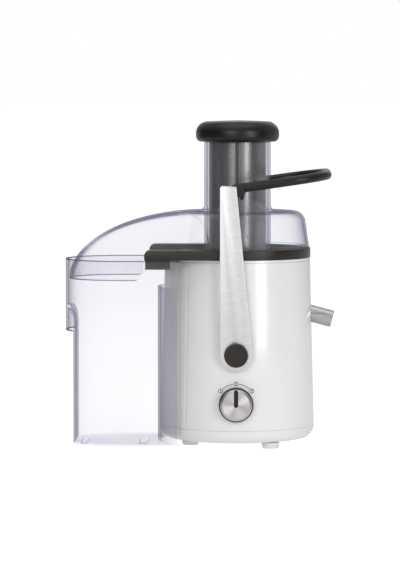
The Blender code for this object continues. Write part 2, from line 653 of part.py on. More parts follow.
def make_basket():
    tube_gap = 0.004
    flange_z = GRATER_Z - SEAT_GAP
    flange_low = max(flange_z - 0.005, BOWL_TUBE_TOP + tube_gap)
    hub_low = COUPLING_BOTTOM + 0.012
    dish_r = GRATER_R + 0.002
    profile = [(0, flange_z), (dish_r, flange_z), (dish_r, flange_low), (HUB_R - 0.001, flange_low)]
    profile += [(HUB_R - 0.001, hub_low), (0, hub_low)]
    hub = turned("basket_hub", profile, "black", AXIS, steps=32)
    socket_r = COUPLING_R + 0.0003
    socket_top = COUPLING_TOP + 0.0006
    combine(hub, "DIFFERENCE", cylinder("socket", socket_r, hub_low - 0.01, socket_top, None, AXIS, steps=6))
    plate_top = GRATER_Z + GRATER_PLATE
    profile = [(0, plate_top + 0.002), (0.006, plate_top + 0.002), (0.008, plate_top), (GRATER_R, plate_top)]
    turned("grater_disc", profile + [(GRATER_R, GRATER_Z), (0, GRATER_Z)], "steel", AXIS, steps=32)
    low_r = GRATER_R + SEAT_GAP + MESH_WALL
    profile = [(BASKET_TOP_R, BASKET_TOP), (low_r, GRATER_Z), (low_r - MESH_WALL, GRATER_Z)]
    profile += [(BASKET_TOP_R - MESH_WALL, BASKET_TOP)]
    turned("filter_mesh", profile, "steel", AXIS, steps=40, ring=True)
    low = BASKET_TOP + SEAT_GAP
    outer, inner = BASKET_TOP_R + 0.002, BASKET_TOP_R - 0.004
    tube("basket_rim", outer, inner, low, low + RIM_HEIGHT, "black", AXIS, steps=40)
    bore = (SHAFT_R + SEAT_GAP) / math.cos(math.pi / 6)  # to the corners, so that its flats clear the shaft
    coupling = [(0, COUPLING_TOP), (COUPLING_R, COUPLING_TOP), (COUPLING_R, COUPLING_BOTTOM)]
    coupling += [(bore, COUPLING_BOTTOM), (bore, COUPLING_TOP - 0.01)]
    turned("drive_coupling", coupling + [(0, COUPLING_TOP - 0.01)], "black", AXIS, steps=6)


def bearing_plate(name, low):
    """A round plate with a cup that holds a bearing on its upper side."""
    top = low + FRAME_PLATE
    seat = BEARING_R + SEAT_GAP
    cup = seat + 0.003
    cup_top = top + BEARING_HEIGHT + SEAT_GAP
    hole = SHAFT_R + 0.002
    profile = [(FRAME_R, top), (FRAME_R, low), (hole, low), (hole, top), (seat, top), (seat, cup_top)]
    plate = turned(name, profile + [(cup, cup_top), (cup, top)], "cast", AXIS, steps=32, ring=True)
    bearing_low = top + SEAT_GAP
    side = name.split("_")[-1]
    bore = SHAFT_R + SEAT_GAP
    bearing_top = bearing_low + BEARING_HEIGHT - SEAT_GAP
    tube(f"bearing_{side}", BEARING_R, bore, bearing_low, bearing_top, "steel", AXIS)
    return plate


def make_motor():
    lower = bearing_plate("motor_frame_lower", FRAME_LOW_Z)
    bearing_plate("motor_frame_upper", FRAME_HIGH_Z)
    for x, y in round_the_axis(PILLARS, PILLAR_CIRCLE):
        pillar_low = FRAME_LOW_Z + FRAME_PLATE / 2
        top = FRAME_HIGH_Z - SEAT_GAP
        pillar = cylinder("pillar", PILLAR_R, pillar_low, top, None, AXIS, (x, y, 0), steps=12)
        combine(lower, "UNION", pillar)
    low, high = STATOR_Z
    tube("motor_stator", STATOR_R, STATOR_BORE_R, low, high, "cast", AXIS, steps=32)
    inner = STATOR_BORE_R + 0.001
    outer = STATOR_R - 0.004
    tube("winding_upper", outer, inner, high + SEAT_GAP, high + WINDING_HEIGHT, "copper", AXIS, steps=20)
    tube("winding_lower", outer, inner, low - WINDING_HEIGHT, low - SEAT_GAP, "copper", AXIS, steps=20)
    bore = SHAFT_R + SEAT_GAP
    tube("armature_core", STATOR_BORE_R - RUNNING_GAP, bore, low - 0.002, high + 0.002, "cast", AXIS)
    tube("commutator", COMMUTATOR_R, bore, *COMMUTATOR_Z, "copper", AXIS)
    cylinder("motor_shaft", SHAFT_R, SHAFT_BOTTOM, COUPLING_TOP - 0.0105, "steel", AXIS, steps=16)
    for side, _, direction in SIDES:
        ys = sorted((direction * (COMMUTATOR_R + RUNNING_GAP), direction * 0.032))
        low_corner = (-0.0055, ys[0], COMMUTATOR_Z[0] + 0.0015)
        block(f"brush_holder_{side}", low_corner, (0.0055, ys[1], COMMUTATOR_Z[1] - 0.0015), "copper", AXIS)


def make_fan():
    plate = 0.0015
    top = FAN_Z + FAN_BLADE_HEIGHT
    hub_r = SHAFT_R + 0.006
    bore = SHAFT_R + SEAT_GAP
    profile = [(hub_r, top), (hub_r, FAN_Z + plate), (FAN_R, FAN_Z + plate), (FAN_R, FAN_Z)]
    profile += [(bore, FAN_Z), (bore, top)]
    fan = turned("cooling_fan", profile, "black", AXIS, steps=32, ring=True)
    for i in range(FAN_BLADES):
        low = (hub_r - 0.001, -0.0008, FAN_Z + plate / 2)
        blade = block("fan_blade", low, (FAN_R - 0.001, 0.0008, top - 0.0005), None, AXIS)
        blade.matrix_basis = Matrix.Rotation(TURN * i / FAN_BLADES, 4, "Z") @ blade.matrix_basis
        combine(fan, "UNION", blade)


def make_mounts_and_screws():
    floor_top = FOOT_HEIGHT + TRAY_FLOOR
    for i, (x, y) in enumerate(round_the_axis(PILLARS, PILLAR_CIRCLE), 1):
        bore = SCREW_R + SEAT_GAP
        top = FRAME_LOW_Z - SEAT_GAP
        low = floor_top + SEAT_GAP
        tube(f"motor_mount_{i}", MOUNT_R, bore, low, top, "rubber", AXIS, (x, y, 0), steps=16)
        head = FOOT_HEIGHT + SEAT_GAP
        under_head = FOOT_HEIGHT + TRAY_FLOOR * HEAD_SHARE - SEAT_GAP
        profile = [(0, top), (SCREW_R, top), (SCREW_R, under_head), (SCREW_HEAD_R, under_head)]
        profile += [(SCREW_HEAD_R, head), (0, head)]
        turned(f"base_screw_{i}", profile, "steel", AXIS, (x, y, 0), steps=12)


# ------------------------------------------------------------------ lock


def arm_outline():
    """The strip's outline about the pivot: round at the pivot, narrow at the top."""
    top = ARM_TOP_Z - PIVOT_Z
    left = -ARM_END_R
    right = left + ARM_TOP_WIDTH
    # The front edge runs from the top corner to where it touches the round end.
    reach = math.hypot(right, top)
    touch = math.degrees(math.atan2(top, right) - math.acos(ARM_END_R / reach))
    outline = [(left, top - 0.003), (left + 0.002, top), (right, top - 0.001)]
    return outline + arc((0, 0), ARM_END_R, touch, -180, 20)


def make_arms():
    panel_r = body_radius(PIVOT_Z)
    for side, turn, direction in SIDES:
        ys = sorted((direction * ARM_Y, direction * (ARM_Y + ARM_SHEET)))
        arm = outlined(f"lock_arm_{side}", arm_outline(), *ys, "brushed", LOCK_AXIS, upright=True)
        facing = {"rotation": (turn, 0, 0)}
        hole = cylinder(f"arm_hole_{side}", PIN_R + SEAT_GAP, 0.09, 0.11, None, LOCK_AXIS, steps=16, **facing)
        combine(arm, "DIFFERENCE", hole)
        outer = ARM_Y + ARM_SHEET + SEAT_GAP
        pin_end = outer + 0.002
        socket = PIN_R + SEAT_GAP
        profile = [(0, HALF_WIDTH), (PIVOT_CAP_R - 0.001, HALF_WIDTH), (PIVOT_CAP_R, HALF_WIDTH - 0.001)]
        profile += [(PIVOT_CAP_R, outer), (socket, outer)]
        profile += [(socket, pin_end + SEAT_GAP), (0, pin_end + SEAT_GAP)]
        turned(f"pivot_cap_{side}", profile, "dark", LOCK_AXIS, steps=32, **facing)
        flange = panel_r - PANEL_WALL - 0.0013
        head_end = flange - PIN_HEAD
        profile = [(0, pin_end), (PIN_R, pin_end), (PIN_R, flange), (FLANGE_R, flange)]
        profile += [(FLANGE_R, head_end), (0, head_end)]
        turned(f"pivot_pin_{side}", profile, "steel", LOCK_AXIS, steps=16, **facing)
        face = panel_r + SEAT_GAP
        bush_r = PIN_R + BUSH_WALL
        bush = [(FLANGE_R, ARM_Y - SEAT_GAP), (FLANGE_R, face), (bush_r, face)]
        bush += [(bush_r, flange + SEAT_GAP), (socket, flange + SEAT_GAP), (socket, ARM_Y - SEAT_GAP)]
        place = (0, 0, PIVOT_Z)
        turned(f"pivot_bush_{side}", bush, "black", AXIS, place, (turn, 0, 0), steps=20, ring=True)
    cam_reach = FLANGE_R + 0.0055
    cam = arc((0, 0), FLANGE_R, 60, 360, 14) + [(cam_reach, 0.001), (cam_reach, 0.006)]
    near_end = SEAT_GAP - head_end
    inner_end = near_end + INTERLOCK_LENGTH
    outlined("interlock_cam", cam, near_end, inner_end, "black", LOCK_AXIS, upright=True)
    low = (cam_reach + 0.0015, near_end + 0.006, PIVOT_Z - 0.009)
    block("interlock_switch", low, (cam_reach + 0.021, inner_end, PIVOT_Z + 0.006), "dark", AXIS)


def make_handle():
    front = HANDLE_REACH - BAR_R
    corner = front - BOW_CORNER_R
    bend = BOW_Y - BOW_CORNER_R
    path = [(-0.004, -BOW_Y), (corner * 0.5, -BOW_Y)]
    path += arc((corner, -bend), BOW_CORNER_R, -90, 0, 8)
    path += arc((corner, bend), BOW_CORNER_R, 0, 90, 8)
    path += [(corner * 0.5, BOW_Y), (-0.004, BOW_Y)]
    curve = bpy.data.curves.new("handle_bow", "CURVE")
    curve.dimensions = "3D"
    curve.bevel_depth = BAR_R
    curve.bevel_resolution = 3
    curve.use_fill_caps = True
    line = curve.splines.new("POLY")
    line.points.add(len(path) - 1)
    rise = math.tan(BOW_TILT)
    height = BOW_Z - PIVOT_Z
    for point, (x, y) in zip(line.points, path):
        point.co = (x, y, height + x * rise, 1)
    handle = add("handle_bow", curve_to_mesh("handle_bow", curve), "black", LOCK_AXIS)
    length, depth = HUB_BLOCK
    back = -length * 0.6
    top = ARM_TOP_Z - PIVOT_Z - 0.001
    for side, _, direction in SIDES:
        ys = sorted((direction * (BOW_Y - BAR_R - 0.001), direction * (ARM_Y - SEAT_GAP)))
        low = (back, ys[0], top - depth)
        hub = block(f"hub_{side}", low, (back + length, ys[1], top), None, LOCK_AXIS)
        combine(handle, "UNION", round_edges(hub, 0.0015))
        width, drop = LUG
        ys = sorted((direction * (BOW_Y - BAR_R + 0.0005), direction * (BOW_Y + 0.001)))
        low = (0.0025, ys[0], top - depth - drop)
        high = (0.0025 + width, ys[1], top - 0.003)
        combine(handle, "UNION", block(f"lug_{side}", low, high, None, LOCK_AXIS))
        ys = sorted((direction * (CAM_Y - 0.001), direction * BOW_Y))
        finger_low = ROOF_Z + CAM_HEIGHT + RUNNING_GAP - PIVOT_Z
        low = (-0.005, ys[0], finger_low)
        high = (0.0065, ys[1], finger_low + 0.007)
        combine(handle, "UNION", block(f"finger_{side}", low, high, None, LOCK_AXIS))


# ------------------------------------------------------------------ knob and electrics


def make_knob():
    facing = {"rotation": (math.pi / 2, 0, 0)}
    back = body_radius(KNOB_Z) + RUNNING_GAP
    front = HALF_WIDTH - 0.0007
    face_back = front - 0.003
    body_top = face_back - SEAT_GAP
    bore = KNOB_SHAFT_R + SEAT_GAP
    bore_top = body_top - 0.001
    profile = [(0, body_top), (KNOB_R - 0.001, body_top), (KNOB_R, body_top - 0.001), (KNOB_R, back)]
    profile += [(bore, back), (bore, bore_top), (0, bore_top)]
    turned("knob_body", profile, "black", KNOB_AXIS, steps=32, **facing)
    profile = [(0, front), (KNOB_FACE_R - 0.003, front)]
    profile += [(KNOB_FACE_R, face_back + 0.0006), (KNOB_FACE_R, face_back)]
    face = turned("knob_face", profile + [(0, face_back)], "brushed", KNOB_AXIS, steps=32, **facing)
    width, length = POINTER
    centre = KNOB_FACE_R - 0.001 - length / 2
    straight = length / 2 - width / 2
    half = width / 2
    shape = arc((0, centre + straight), half, 0, 180, 6) + arc((0, centre - straight), half, 180, 360, 6)
    slot_half = half + SEAT_GAP
    slot = arc((0, centre + straight), slot_half, 0, 180, 6)
    slot += arc((0, centre - straight), slot_half, 180, 360, 6)
    low, high = -front - 0.01, -face_back + 0.01
    slot_cutter = outlined("pointer_slot", slot, low, high, None, KNOB_AXIS, upright=True)
    combine(face, "DIFFERENCE", slot_cutter)
    outlined("knob_pointer", shape, -front + 0.0006, -face_back, "black", KNOB_AXIS, upright=True)
    cylinder("knob_shaft", KNOB_SHAFT_R, 0.0755, bore_top - SEAT_GAP, "steel", KNOB_AXIS, steps=12, **facing)
    low = (-0.012, -0.0752, KNOB_Z - 0.012)
    round_edges(block("rotary_switch", low, (0.012, -0.060, KNOB_Z + 0.012), "dark", AXIS), 0.001, 1)
    block("control_board", (-0.0686, -0.025, 0.045), (-0.067, 0.025, 0.085), "board", AXIS)


# ------------------------------------------------------------------ pulp container


def container_plan(inset):
    """Round at the outer end, straight at the sides, hollow where it hugs the housing."""
    outer = CONTAINER_END_R - inset
    hug = BODY_BOTTOM_R + CONTAINER_GAP + inset
    side = math.degrees(math.asin(outer / hug))
    plan = arc((-CONTAINER_CENTRE, 0), outer, 90, 270, 24)
    return plan + arc((0, 0), hug, 180 + side, 180 - side, 16)


def container_side(inset):
    """The side outline, stepped in below the finger grip."""
    outer = -CONTAINER_REACH - 0.001
    wall = -CONTAINER_REACH + GRIP_DEPTH + inset
    low = CONTAINER_FLOOR_Z + inset
    corner = CONTAINER_CORNER_R - inset
    top = CONTAINER_TOP + (0.01 if inset else 0)
    right = -0.05
    if inset:
        step = [(outer, GRIP_TOP_Z + inset), (wall, GRIP_TOP_Z - 0.014)]
    else:
        step = [(outer, GRIP_LIP_Z), (wall, GRIP_LIP_Z)]
    foot = arc((wall + corner, low + corner), corner, 180, 270, 4)
    return [(right, top), (outer, top)] + step + foot + [(right, low)]


def make_container():
    frame = CONTAINER_FRAME
    plan = container_plan(0)
    low, high = CONTAINER_FLOOR_Z - 0.001, CONTAINER_TOP + 0.001
    vessel = outlined("pulp_container", plan, low, high, "clear", frame)
    side = outlined("vessel_side", container_side(0), -0.1, 0.1, None, frame, upright=True)
    combine(vessel, "INTERSECT", side)
    plan = container_plan(CONTAINER_WALL)
    inside = outlined("vessel_inside", plan, -0.01, CONTAINER_TOP + 0.01, None, frame)
    side = outlined("inside_side", container_side(CONTAINER_WALL), -0.1, 0.1, None, frame, upright=True)
    combine(vessel, "DIFFERENCE", combine(inside, "INTERSECT", side))
    wall = -CONTAINER_REACH + GRIP_DEPTH
    outer = -CONTAINER_REACH - 0.001
    pocket = [(wall, GRIP_LIP_Z - 0.01), (wall, GRIP_TOP_Z - 0.0175), (outer, GRIP_TOP_Z - 0.0035)]
    pocket += [(outer, GRIP_LIP_Z - 0.01)]
    pocket_side = outlined("pocket", pocket, -0.1, 0.1, None, frame, upright=True)
    pocket_plan = outlined("pocket_plan", container_plan(CONTAINER_WALL), 0.1, 0.2, None, frame)
    combine(vessel, "DIFFERENCE", combine(pocket_side, "INTERSECT", pocket_plan))
    half = CONTAINER_END_R - 0.004
    low = (-TAIL_REACH - 0.003, -half, MOUTH_Z)
    combine(vessel, "DIFFERENCE", block("mouth", low, (0, half, CONTAINER_TOP + 0.02), None, frame))


make_feet()
make_base_tray()
make_cord_gland(make_housing())
make_motor_deck()
make_collector()
make_spout()
make_lid()
make_pusher()
make_basket()
make_motor()
make_fan()
make_mounts_and_screws()
make_arms()
make_handle()
make_knob()
make_container()
for item in JUICER.objects:
    if item.type == "MESH":
        item.data.shade_smooth()
        item.data.set_sharp_from_angle(angle=math.radians(30))
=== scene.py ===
"""The finished looks of a centrifugal juicer, built round its working model.

Metres, +Z up. Heights are from the table; most other places are from the drive axis, AXIS.
"""

import json
import math

import bmesh
import bpy
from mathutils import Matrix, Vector

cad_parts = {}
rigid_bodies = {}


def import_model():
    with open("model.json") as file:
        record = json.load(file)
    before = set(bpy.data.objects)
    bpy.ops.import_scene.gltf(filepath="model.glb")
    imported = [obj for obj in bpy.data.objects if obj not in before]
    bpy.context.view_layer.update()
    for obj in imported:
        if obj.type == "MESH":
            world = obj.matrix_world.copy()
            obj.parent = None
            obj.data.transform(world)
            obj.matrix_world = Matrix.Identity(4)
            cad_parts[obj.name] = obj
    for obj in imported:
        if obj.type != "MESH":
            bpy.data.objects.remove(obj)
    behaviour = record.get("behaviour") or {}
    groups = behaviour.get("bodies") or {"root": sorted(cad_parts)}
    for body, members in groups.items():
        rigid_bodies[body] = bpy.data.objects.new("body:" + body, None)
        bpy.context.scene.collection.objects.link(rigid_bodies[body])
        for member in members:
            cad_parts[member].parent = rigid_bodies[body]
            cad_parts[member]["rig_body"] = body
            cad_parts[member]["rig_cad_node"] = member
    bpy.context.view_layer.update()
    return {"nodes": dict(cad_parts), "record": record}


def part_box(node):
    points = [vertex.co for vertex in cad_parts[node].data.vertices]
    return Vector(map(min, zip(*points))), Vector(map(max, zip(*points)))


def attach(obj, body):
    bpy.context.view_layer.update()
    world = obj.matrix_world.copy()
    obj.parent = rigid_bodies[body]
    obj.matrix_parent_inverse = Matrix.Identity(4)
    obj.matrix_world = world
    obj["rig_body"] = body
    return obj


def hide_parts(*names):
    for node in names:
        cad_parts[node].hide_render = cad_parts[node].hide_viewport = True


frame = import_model()

TURN = 2 * math.pi
UP = Vector((0, 0, 1))
RIGHT = Vector((1, 0, 0))
NEAR = Vector((0, -1, 0))


def middle(node):
    low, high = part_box(node)
    return (low + high) / 2


AXIS = Vector((middle("motor_shaft").x, 0, 0))
PIVOT = Vector((AXIS.x, 0, middle("pivot_cap_near").z))
KNOB = Vector((AXIS.x, 0, middle("knob_body").z))


# ---------------------------------------------------------------- camera and light


CAMERA_TARGET = Vector((0, 0, 0.191))
CAMERA_DISTANCE = 4.0
CAMERA_SIDE = math.radians(1.5)
CAMERA_HEIGHT = math.radians(3.7)
CAMERA_LENS = 209
SENSOR_WIDTH = 36
CARD_DISTANCE = 1.45
CARD_LEVEL = 0.4
CARD_HEIGHT = 1.5
DARK_CARDS = (("card_left", 145, 1.5), ("card_back_left", 197, 1.1), ("card_right", 22, 0.8))
SOFTBOXES = (
    ("key", (1.3, -1.6, 0.6), (0.6, 1.3), 12),
    ("fill", (-0.7, -2.3, 1.0), (1.2, 1.2), 15),
    ("top", (0.0, -0.2, 1.9), (1.6, 1.6), 9),
    ("back", (0.3, 1.9, 1.2), (1.6, 1.2), 3),
)


def make_camera():
    level = math.cos(CAMERA_HEIGHT)
    offset = Vector((math.sin(CAMERA_SIDE) * level, -math.cos(CAMERA_SIDE) * level, math.sin(CAMERA_HEIGHT)))
    bpy.ops.object.camera_add(location=CAMERA_TARGET + CAMERA_DISTANCE * offset)
    camera = bpy.context.object
    camera.rotation_euler = (-offset).to_track_quat("-Z", "Y").to_euler()
    camera.data.lens = CAMERA_LENS
    camera.data.sensor_width = SENSOR_WIDTH
    bpy.context.scene.camera = camera


def softbox(name, place, size, power, look_at=(0, 0, 0.2)):
    bpy.ops.object.light_add(type="AREA", location=place)
    lamp = bpy.context.object
    lamp.name = name
    lamp.rotation_euler = (Vector(place) - Vector(look_at)).to_track_quat("Z", "Y").to_euler()
    lamp.data.shape = "RECTANGLE"
    lamp.data.size, lamp.data.size_y = size
    lamp.data.energy = power


def black_card(name, place, size, turn):
    """A dark card beside the set, unseen itself, for the dark side of round shiny pieces."""
    bpy.ops.mesh.primitive_plane_add(size=1, location=place, rotation=turn)
    card = bpy.context.object
    card.name = name
    card.scale = (*size, 1)
    dull = new_material("dark_card", (0.02, 0.02, 0.02), 0, 1)[0]
    card.data.materials.append(dull)
    card.visible_camera = False


def make_studio():
    scene = bpy.context.scene
    scene.view_settings.view_transform = "Standard"
    world = bpy.data.worlds.new("studio")
    scene.world = world
    world.use_nodes = True
    nodes, links = world.node_tree.nodes, world.node_tree.links
    backdrop = nodes["Background"]
    backdrop.inputs["Color"].default_value = (1, 1, 1, 1)
    backdrop.inputs["Strength"].default_value = 1.0
    surroundings = nodes.new("ShaderNodeBackground")
    surroundings.inputs["Color"].default_value = (1, 0.995, 0.99, 1)
    surroundings.inputs["Strength"].default_value = 0.42
    path = nodes.new("ShaderNodeLightPath")
    mix = nodes.new("ShaderNodeMixShader")
    links.new(path.outputs["Is Camera Ray"], mix.inputs[0])
    links.new(surroundings.outputs[0], mix.inputs[1])
    links.new(backdrop.outputs[0], mix.inputs[2])
    links.new(mix.outputs[0], nodes["World Output"].inputs["Surface"])
    for name, place, size, power in SOFTBOXES:
        softbox(name, place, size, power)
    for name, angle, width in DARK_CARDS:
        turn = math.radians(angle)
        place = (CARD_DISTANCE * math.cos(turn), -CARD_DISTANCE * math.sin(turn), CARD_LEVEL)
        black_card(name, place, (CARD_HEIGHT, width), (0, math.pi / 2, -turn))
    bpy.ops.mesh.primitive_plane_add(size=80)
    floor = bpy.context.object
    floor.name = "floor"
    pale, tree, shader = new_material("pale_floor", (0.4, 0.4, 0.4), 0, 0.9)
    shader.inputs["Emission Color"].default_value = (1, 1, 1, 1)
    path = tree.nodes.new("ShaderNodeLightPath")
    glow = tree.nodes.new("ShaderNodeMapRange")
    glow.inputs["To Min"].default_value = 0.45
    glow.inputs["To Max"].default_value = 0.85
    tree.links.new(path.outputs["Is Camera Ray"], glow.inputs["Value"])
    tree.links.new(glow.outputs["Result"], shader.inputs["Emission Strength"])
    floor.data.materials.append(pale)


# ---------------------------------------------------------------- materials


def new_material(name, colour, metallic, roughness):
    finish = bpy.data.materials.new(name)
    finish.use_nodes = True
    shader = finish.node_tree.nodes["Principled BSDF"]
    shader.inputs["Base Color"].default_value = (*colour, 1)
    shader.inputs["Metallic"].default_value = metallic
    shader.inputs["Roughness"].default_value = roughness
    return finish, finish.node_tree, shader


def noise(tree, stretch, scale, detail=3.0, centre=(0, 0, 0)):
    """Noise over the object's own coordinates, stretched by a mapping."""
    place = tree.nodes.new("ShaderNodeTexCoord")
    mapping = tree.nodes.new("ShaderNodeMapping")
    mapping.inputs["Location"].default_value = [-a * b for a, b in zip(centre, stretch)]
    mapping.inputs["Scale"].default_value = stretch
    texture = tree.nodes.new("ShaderNodeTexNoise")
    texture.inputs["Scale"].default_value = scale
    texture.inputs["Detail"].default_value = detail
    tree.links.new(place.outputs["Object"], mapping.inputs["Vector"])
    tree.links.new(mapping.outputs["Vector"], texture.inputs["Vector"])
    return texture.outputs["Fac"]


def spread(tree, value, low, high):
    """Stretches a noise value, which mostly lies from 0.3 to 0.7, to a range."""
    scaled = tree.nodes.new("ShaderNodeMapRange")
    scaled.inputs["From Min"].default_value = 0.3
    scaled.inputs["From Max"].default_value = 0.7
    scaled.inputs["To Min"].default_value = low
    scaled.inputs["To Max"].default_value = high
    tree.links.new(value, scaled.inputs["Value"])
    return scaled.outputs["Result"]


def bump(tree, shader, value, strength, distance):
    relief = tree.nodes.new("ShaderNodeBump")
    relief.inputs["Strength"].default_value = strength
    relief.inputs["Distance"].default_value = distance
    tree.links.new(value, relief.inputs["Height"])
    tree.links.new(relief.outputs["Normal"], shader.inputs["Normal"])


def tint(tree, shader, value, dark, light):
    """Lets the colour wander between two close shades."""
    mix = tree.nodes.new("ShaderNodeMix")
    mix.data_type = "RGBA"
    mix.inputs["A"].default_value = (*dark, 1)
    mix.inputs["B"].default_value = (*light, 1)
    tree.links.new(value, mix.inputs["Factor"])
    tree.links.new(mix.outputs["Result"], shader.inputs["Base Color"])


def moulded(name, dark, light, roughness, grain=0.12, coat=0.0, shine=0.5):
    """Moulded plastic: a fine surface grain, uneven gloss and a faint change of shade."""
    finish, tree, shader = new_material(name, light, 0, roughness)
    broad = noise(tree, (1, 1, 1), 14)
    tint(tree, shader, spread(tree, broad, 0, 1), dark, light)
    fine = noise(tree, (1, 1, 1), 1600, 2)
    low, high = roughness * 0.85, roughness * 1.15
    tree.links.new(spread(tree, broad, low, high), shader.inputs["Roughness"])
    bump(tree, shader, fine, grain, 0.0002)
    shader.inputs["Specular IOR Level"].default_value = shine
    shader.inputs["Coat Weight"].default_value = coat
    shader.inputs["Coat Roughness"].default_value = 0.08
    return finish


def brushed(name, dark, light, roughness, stretch, strength=0.25):
    """Metal brushed one way: streaks of shade, gloss and relief."""
    finish, tree, shader = new_material(name, light, 1, roughness)
    streaks = noise(tree, stretch, 1, 4)
    tint(tree, shader, spread(tree, streaks, 0, 1), dark, light)
    tree.links.new(spread(tree, streaks, roughness * 0.8, roughness * 1.25), shader.inputs["Roughness"])
    bump(tree, shader, streaks, strength, 0.0001)
    return finish


def distance_from(tree, centre, flat):
    """How far a point lies from an axis through centre; flat zeroes the axis direction."""
    place = tree.nodes.new("ShaderNodeTexCoord")
    mapping = tree.nodes.new("ShaderNodeMapping")
    mapping.inputs["Location"].default_value = [-a * b for a, b in zip(centre, flat)]
    mapping.inputs["Scale"].default_value = flat
    length = tree.nodes.new("ShaderNodeVectorMath")
    length.operation = "LENGTH"
    tree.links.new(place.outputs["Object"], mapping.inputs["Vector"])
    tree.links.new(mapping.outputs["Vector"], length.inputs[0])
    return length.outputs["Value"]


def spun_metal():
    """Metal faced on a lathe: fine rings about the knob's axis, which spread the gloss in a fan."""
    finish, tree, shader = new_material("spun_steel", (0.7, 0.67, 0.68), 1, 0.34)
    radius = distance_from(tree, KNOB, (1, 0, 1))
    rings = tree.nodes.new("ShaderNodeTexNoise")
    rings.noise_dimensions = "1D"
    rings.inputs["Scale"].default_value = 5200
    rings.inputs["Detail"].default_value = 3
    tree.links.new(radius, rings.inputs["W"])
    value = rings.outputs["Fac"]
    tint(tree, shader, spread(tree, value, 0, 1), (0.6, 0.57, 0.58), (0.74, 0.7, 0.71))
    tree.links.new(spread(tree, value, 0.3, 0.38), shader.inputs["Roughness"])
    shader.inputs["Anisotropic"].default_value = 0.85
    place = tree.nodes.new("ShaderNodeTexCoord")
    arm = tree.nodes.new("ShaderNodeVectorMath")
    arm.operation = "SUBTRACT"
    arm.inputs[1].default_value = KNOB
    around = tree.nodes.new("ShaderNodeVectorMath")
    around.operation = "CROSS_PRODUCT"
    around.inputs[1].default_value = NEAR
    world = tree.nodes.new("ShaderNodeVectorTransform")
    world.vector_type = "VECTOR"
    world.convert_from = "OBJECT"
    world.convert_to = "WORLD"
    tree.links.new(place.outputs["Object"], arm.inputs[0])
    tree.links.new(arm.outputs[0], around.inputs[0])
    tree.links.new(around.outputs[0], world.inputs[0])
    tree.links.new(world.outputs[0], shader.inputs["Tangent"])
    return finish


def by_angle(tree, face_on, edge_on, power):
    """A number that goes from its face-on to its edge-on value as a wall turns away."""
    layer = tree.nodes.new("ShaderNodeLayerWeight")
    layer.inputs["Blend"].default_value = 0.5
    curve = tree.nodes.new("ShaderNodeMath")
    curve.operation = "POWER"
    curve.inputs[1].default_value = power
    level = tree.nodes.new("ShaderNodeMapRange")
    level.inputs["To Min"].default_value = face_on
    level.inputs["To Max"].default_value = edge_on
    tree.links.new(layer.outputs["Facing"], curve.inputs[0])
    tree.links.new(curve.outputs[0], level.inputs["Value"])
    return level.outputs["Result"]


def clear_plastic(name, through, edge, veil, power):
    """Clear moulded plastic: light passes straight through, tinted where a wall is edge-on."""
    finish, tree, shader = new_material(name, (0.86, 0.86, 0.93), 0, 0.06)
    shader.inputs["Specular IOR Level"].default_value = 0.9
    waviness = noise(tree, (1, 1, 1), 45, 2)
    bump(tree, shader, waviness, 0.05, 0.0005)
    clear = tree.nodes.new("ShaderNodeBsdfTransparent")
    shade = tree.nodes.new("ShaderNodeMix")
    shade.data_type = "RGBA"
    shade.inputs["A"].default_value = (*through, 1)
    shade.inputs["B"].default_value = (*edge, 1)
    tree.links.new(by_angle(tree, 0, 1, power), shade.inputs["Factor"])
    tree.links.new(shade.outputs["Result"], clear.inputs["Color"])
    mix = tree.nodes.new("ShaderNodeMixShader")
    tree.links.new(by_angle(tree, *veil, 2.0), mix.inputs[0])
    tree.links.new(clear.outputs[0], mix.inputs[1])
    tree.links.new(shader.outputs[0], mix.inputs[2])
    tree.links.new(mix.outputs[0], tree.nodes["Material Output"].inputs["Surface"])
    return finish


def sheet_with_painted_holes(name):
    """Strainer sheet: rows of small holes in bright steel, painted on as near-black spots of shade instead of
    being cut.
    """
    finish, tree, shader = new_material(name, (0.62, 0.62, 0.64), 1, 0.3)
    place = tree.nodes.new("ShaderNodeTexCoord")
    cells = tree.nodes.new("ShaderNodeTexVoronoi")
    cells.inputs["Scale"].default_value = 700
    cells.inputs["Randomness"].default_value = 0.15
    tree.links.new(place.outputs["Object"], cells.inputs["Vector"])
    hole = tree.nodes.new("ShaderNodeMapRange")
    hole.inputs["From Min"].default_value = 0.28
    hole.inputs["From Max"].default_value = 0.36
    tree.links.new(cells.outputs["Distance"], hole.inputs["Value"])
    # painted shade: each hole is a near-black spot for the shade seen through the opening
    tint(tree, shader, hole.outputs["Result"], (0.05, 0.05, 0.05), (0.66, 0.66, 0.68))
    bump(tree, shader, hole.outputs["Result"], 0.4, 0.0003)
    return finish


def wound_wire():
    """Enamelled copper wire laid in rings, with painted shade in the grooves between turns."""
    finish, tree, shader = new_material("wound_copper", (0.72, 0.33, 0.15), 1, 0.38)
    radius = distance_from(tree, AXIS, (1, 1, 0))
    wave = tree.nodes.new("ShaderNodeMath")
    wave.operation = "PINGPONG"
    wave.inputs[1].default_value = 0.0004
    tree.links.new(radius, wave.inputs[0])
    level = tree.nodes.new("ShaderNodeMapRange")
    level.inputs["From Max"].default_value = 0.0004
    tree.links.new(wave.outputs[0], level.inputs["Value"])
    # painted shade: the copper darkens towards each groove between neighbouring turns
    tint(tree, shader, level.outputs["Result"], (0.35, 0.13, 0.05), (0.8, 0.4, 0.2))
    bump(tree, shader, level.outputs["Result"], 0.6, 0.0003)
    return finish


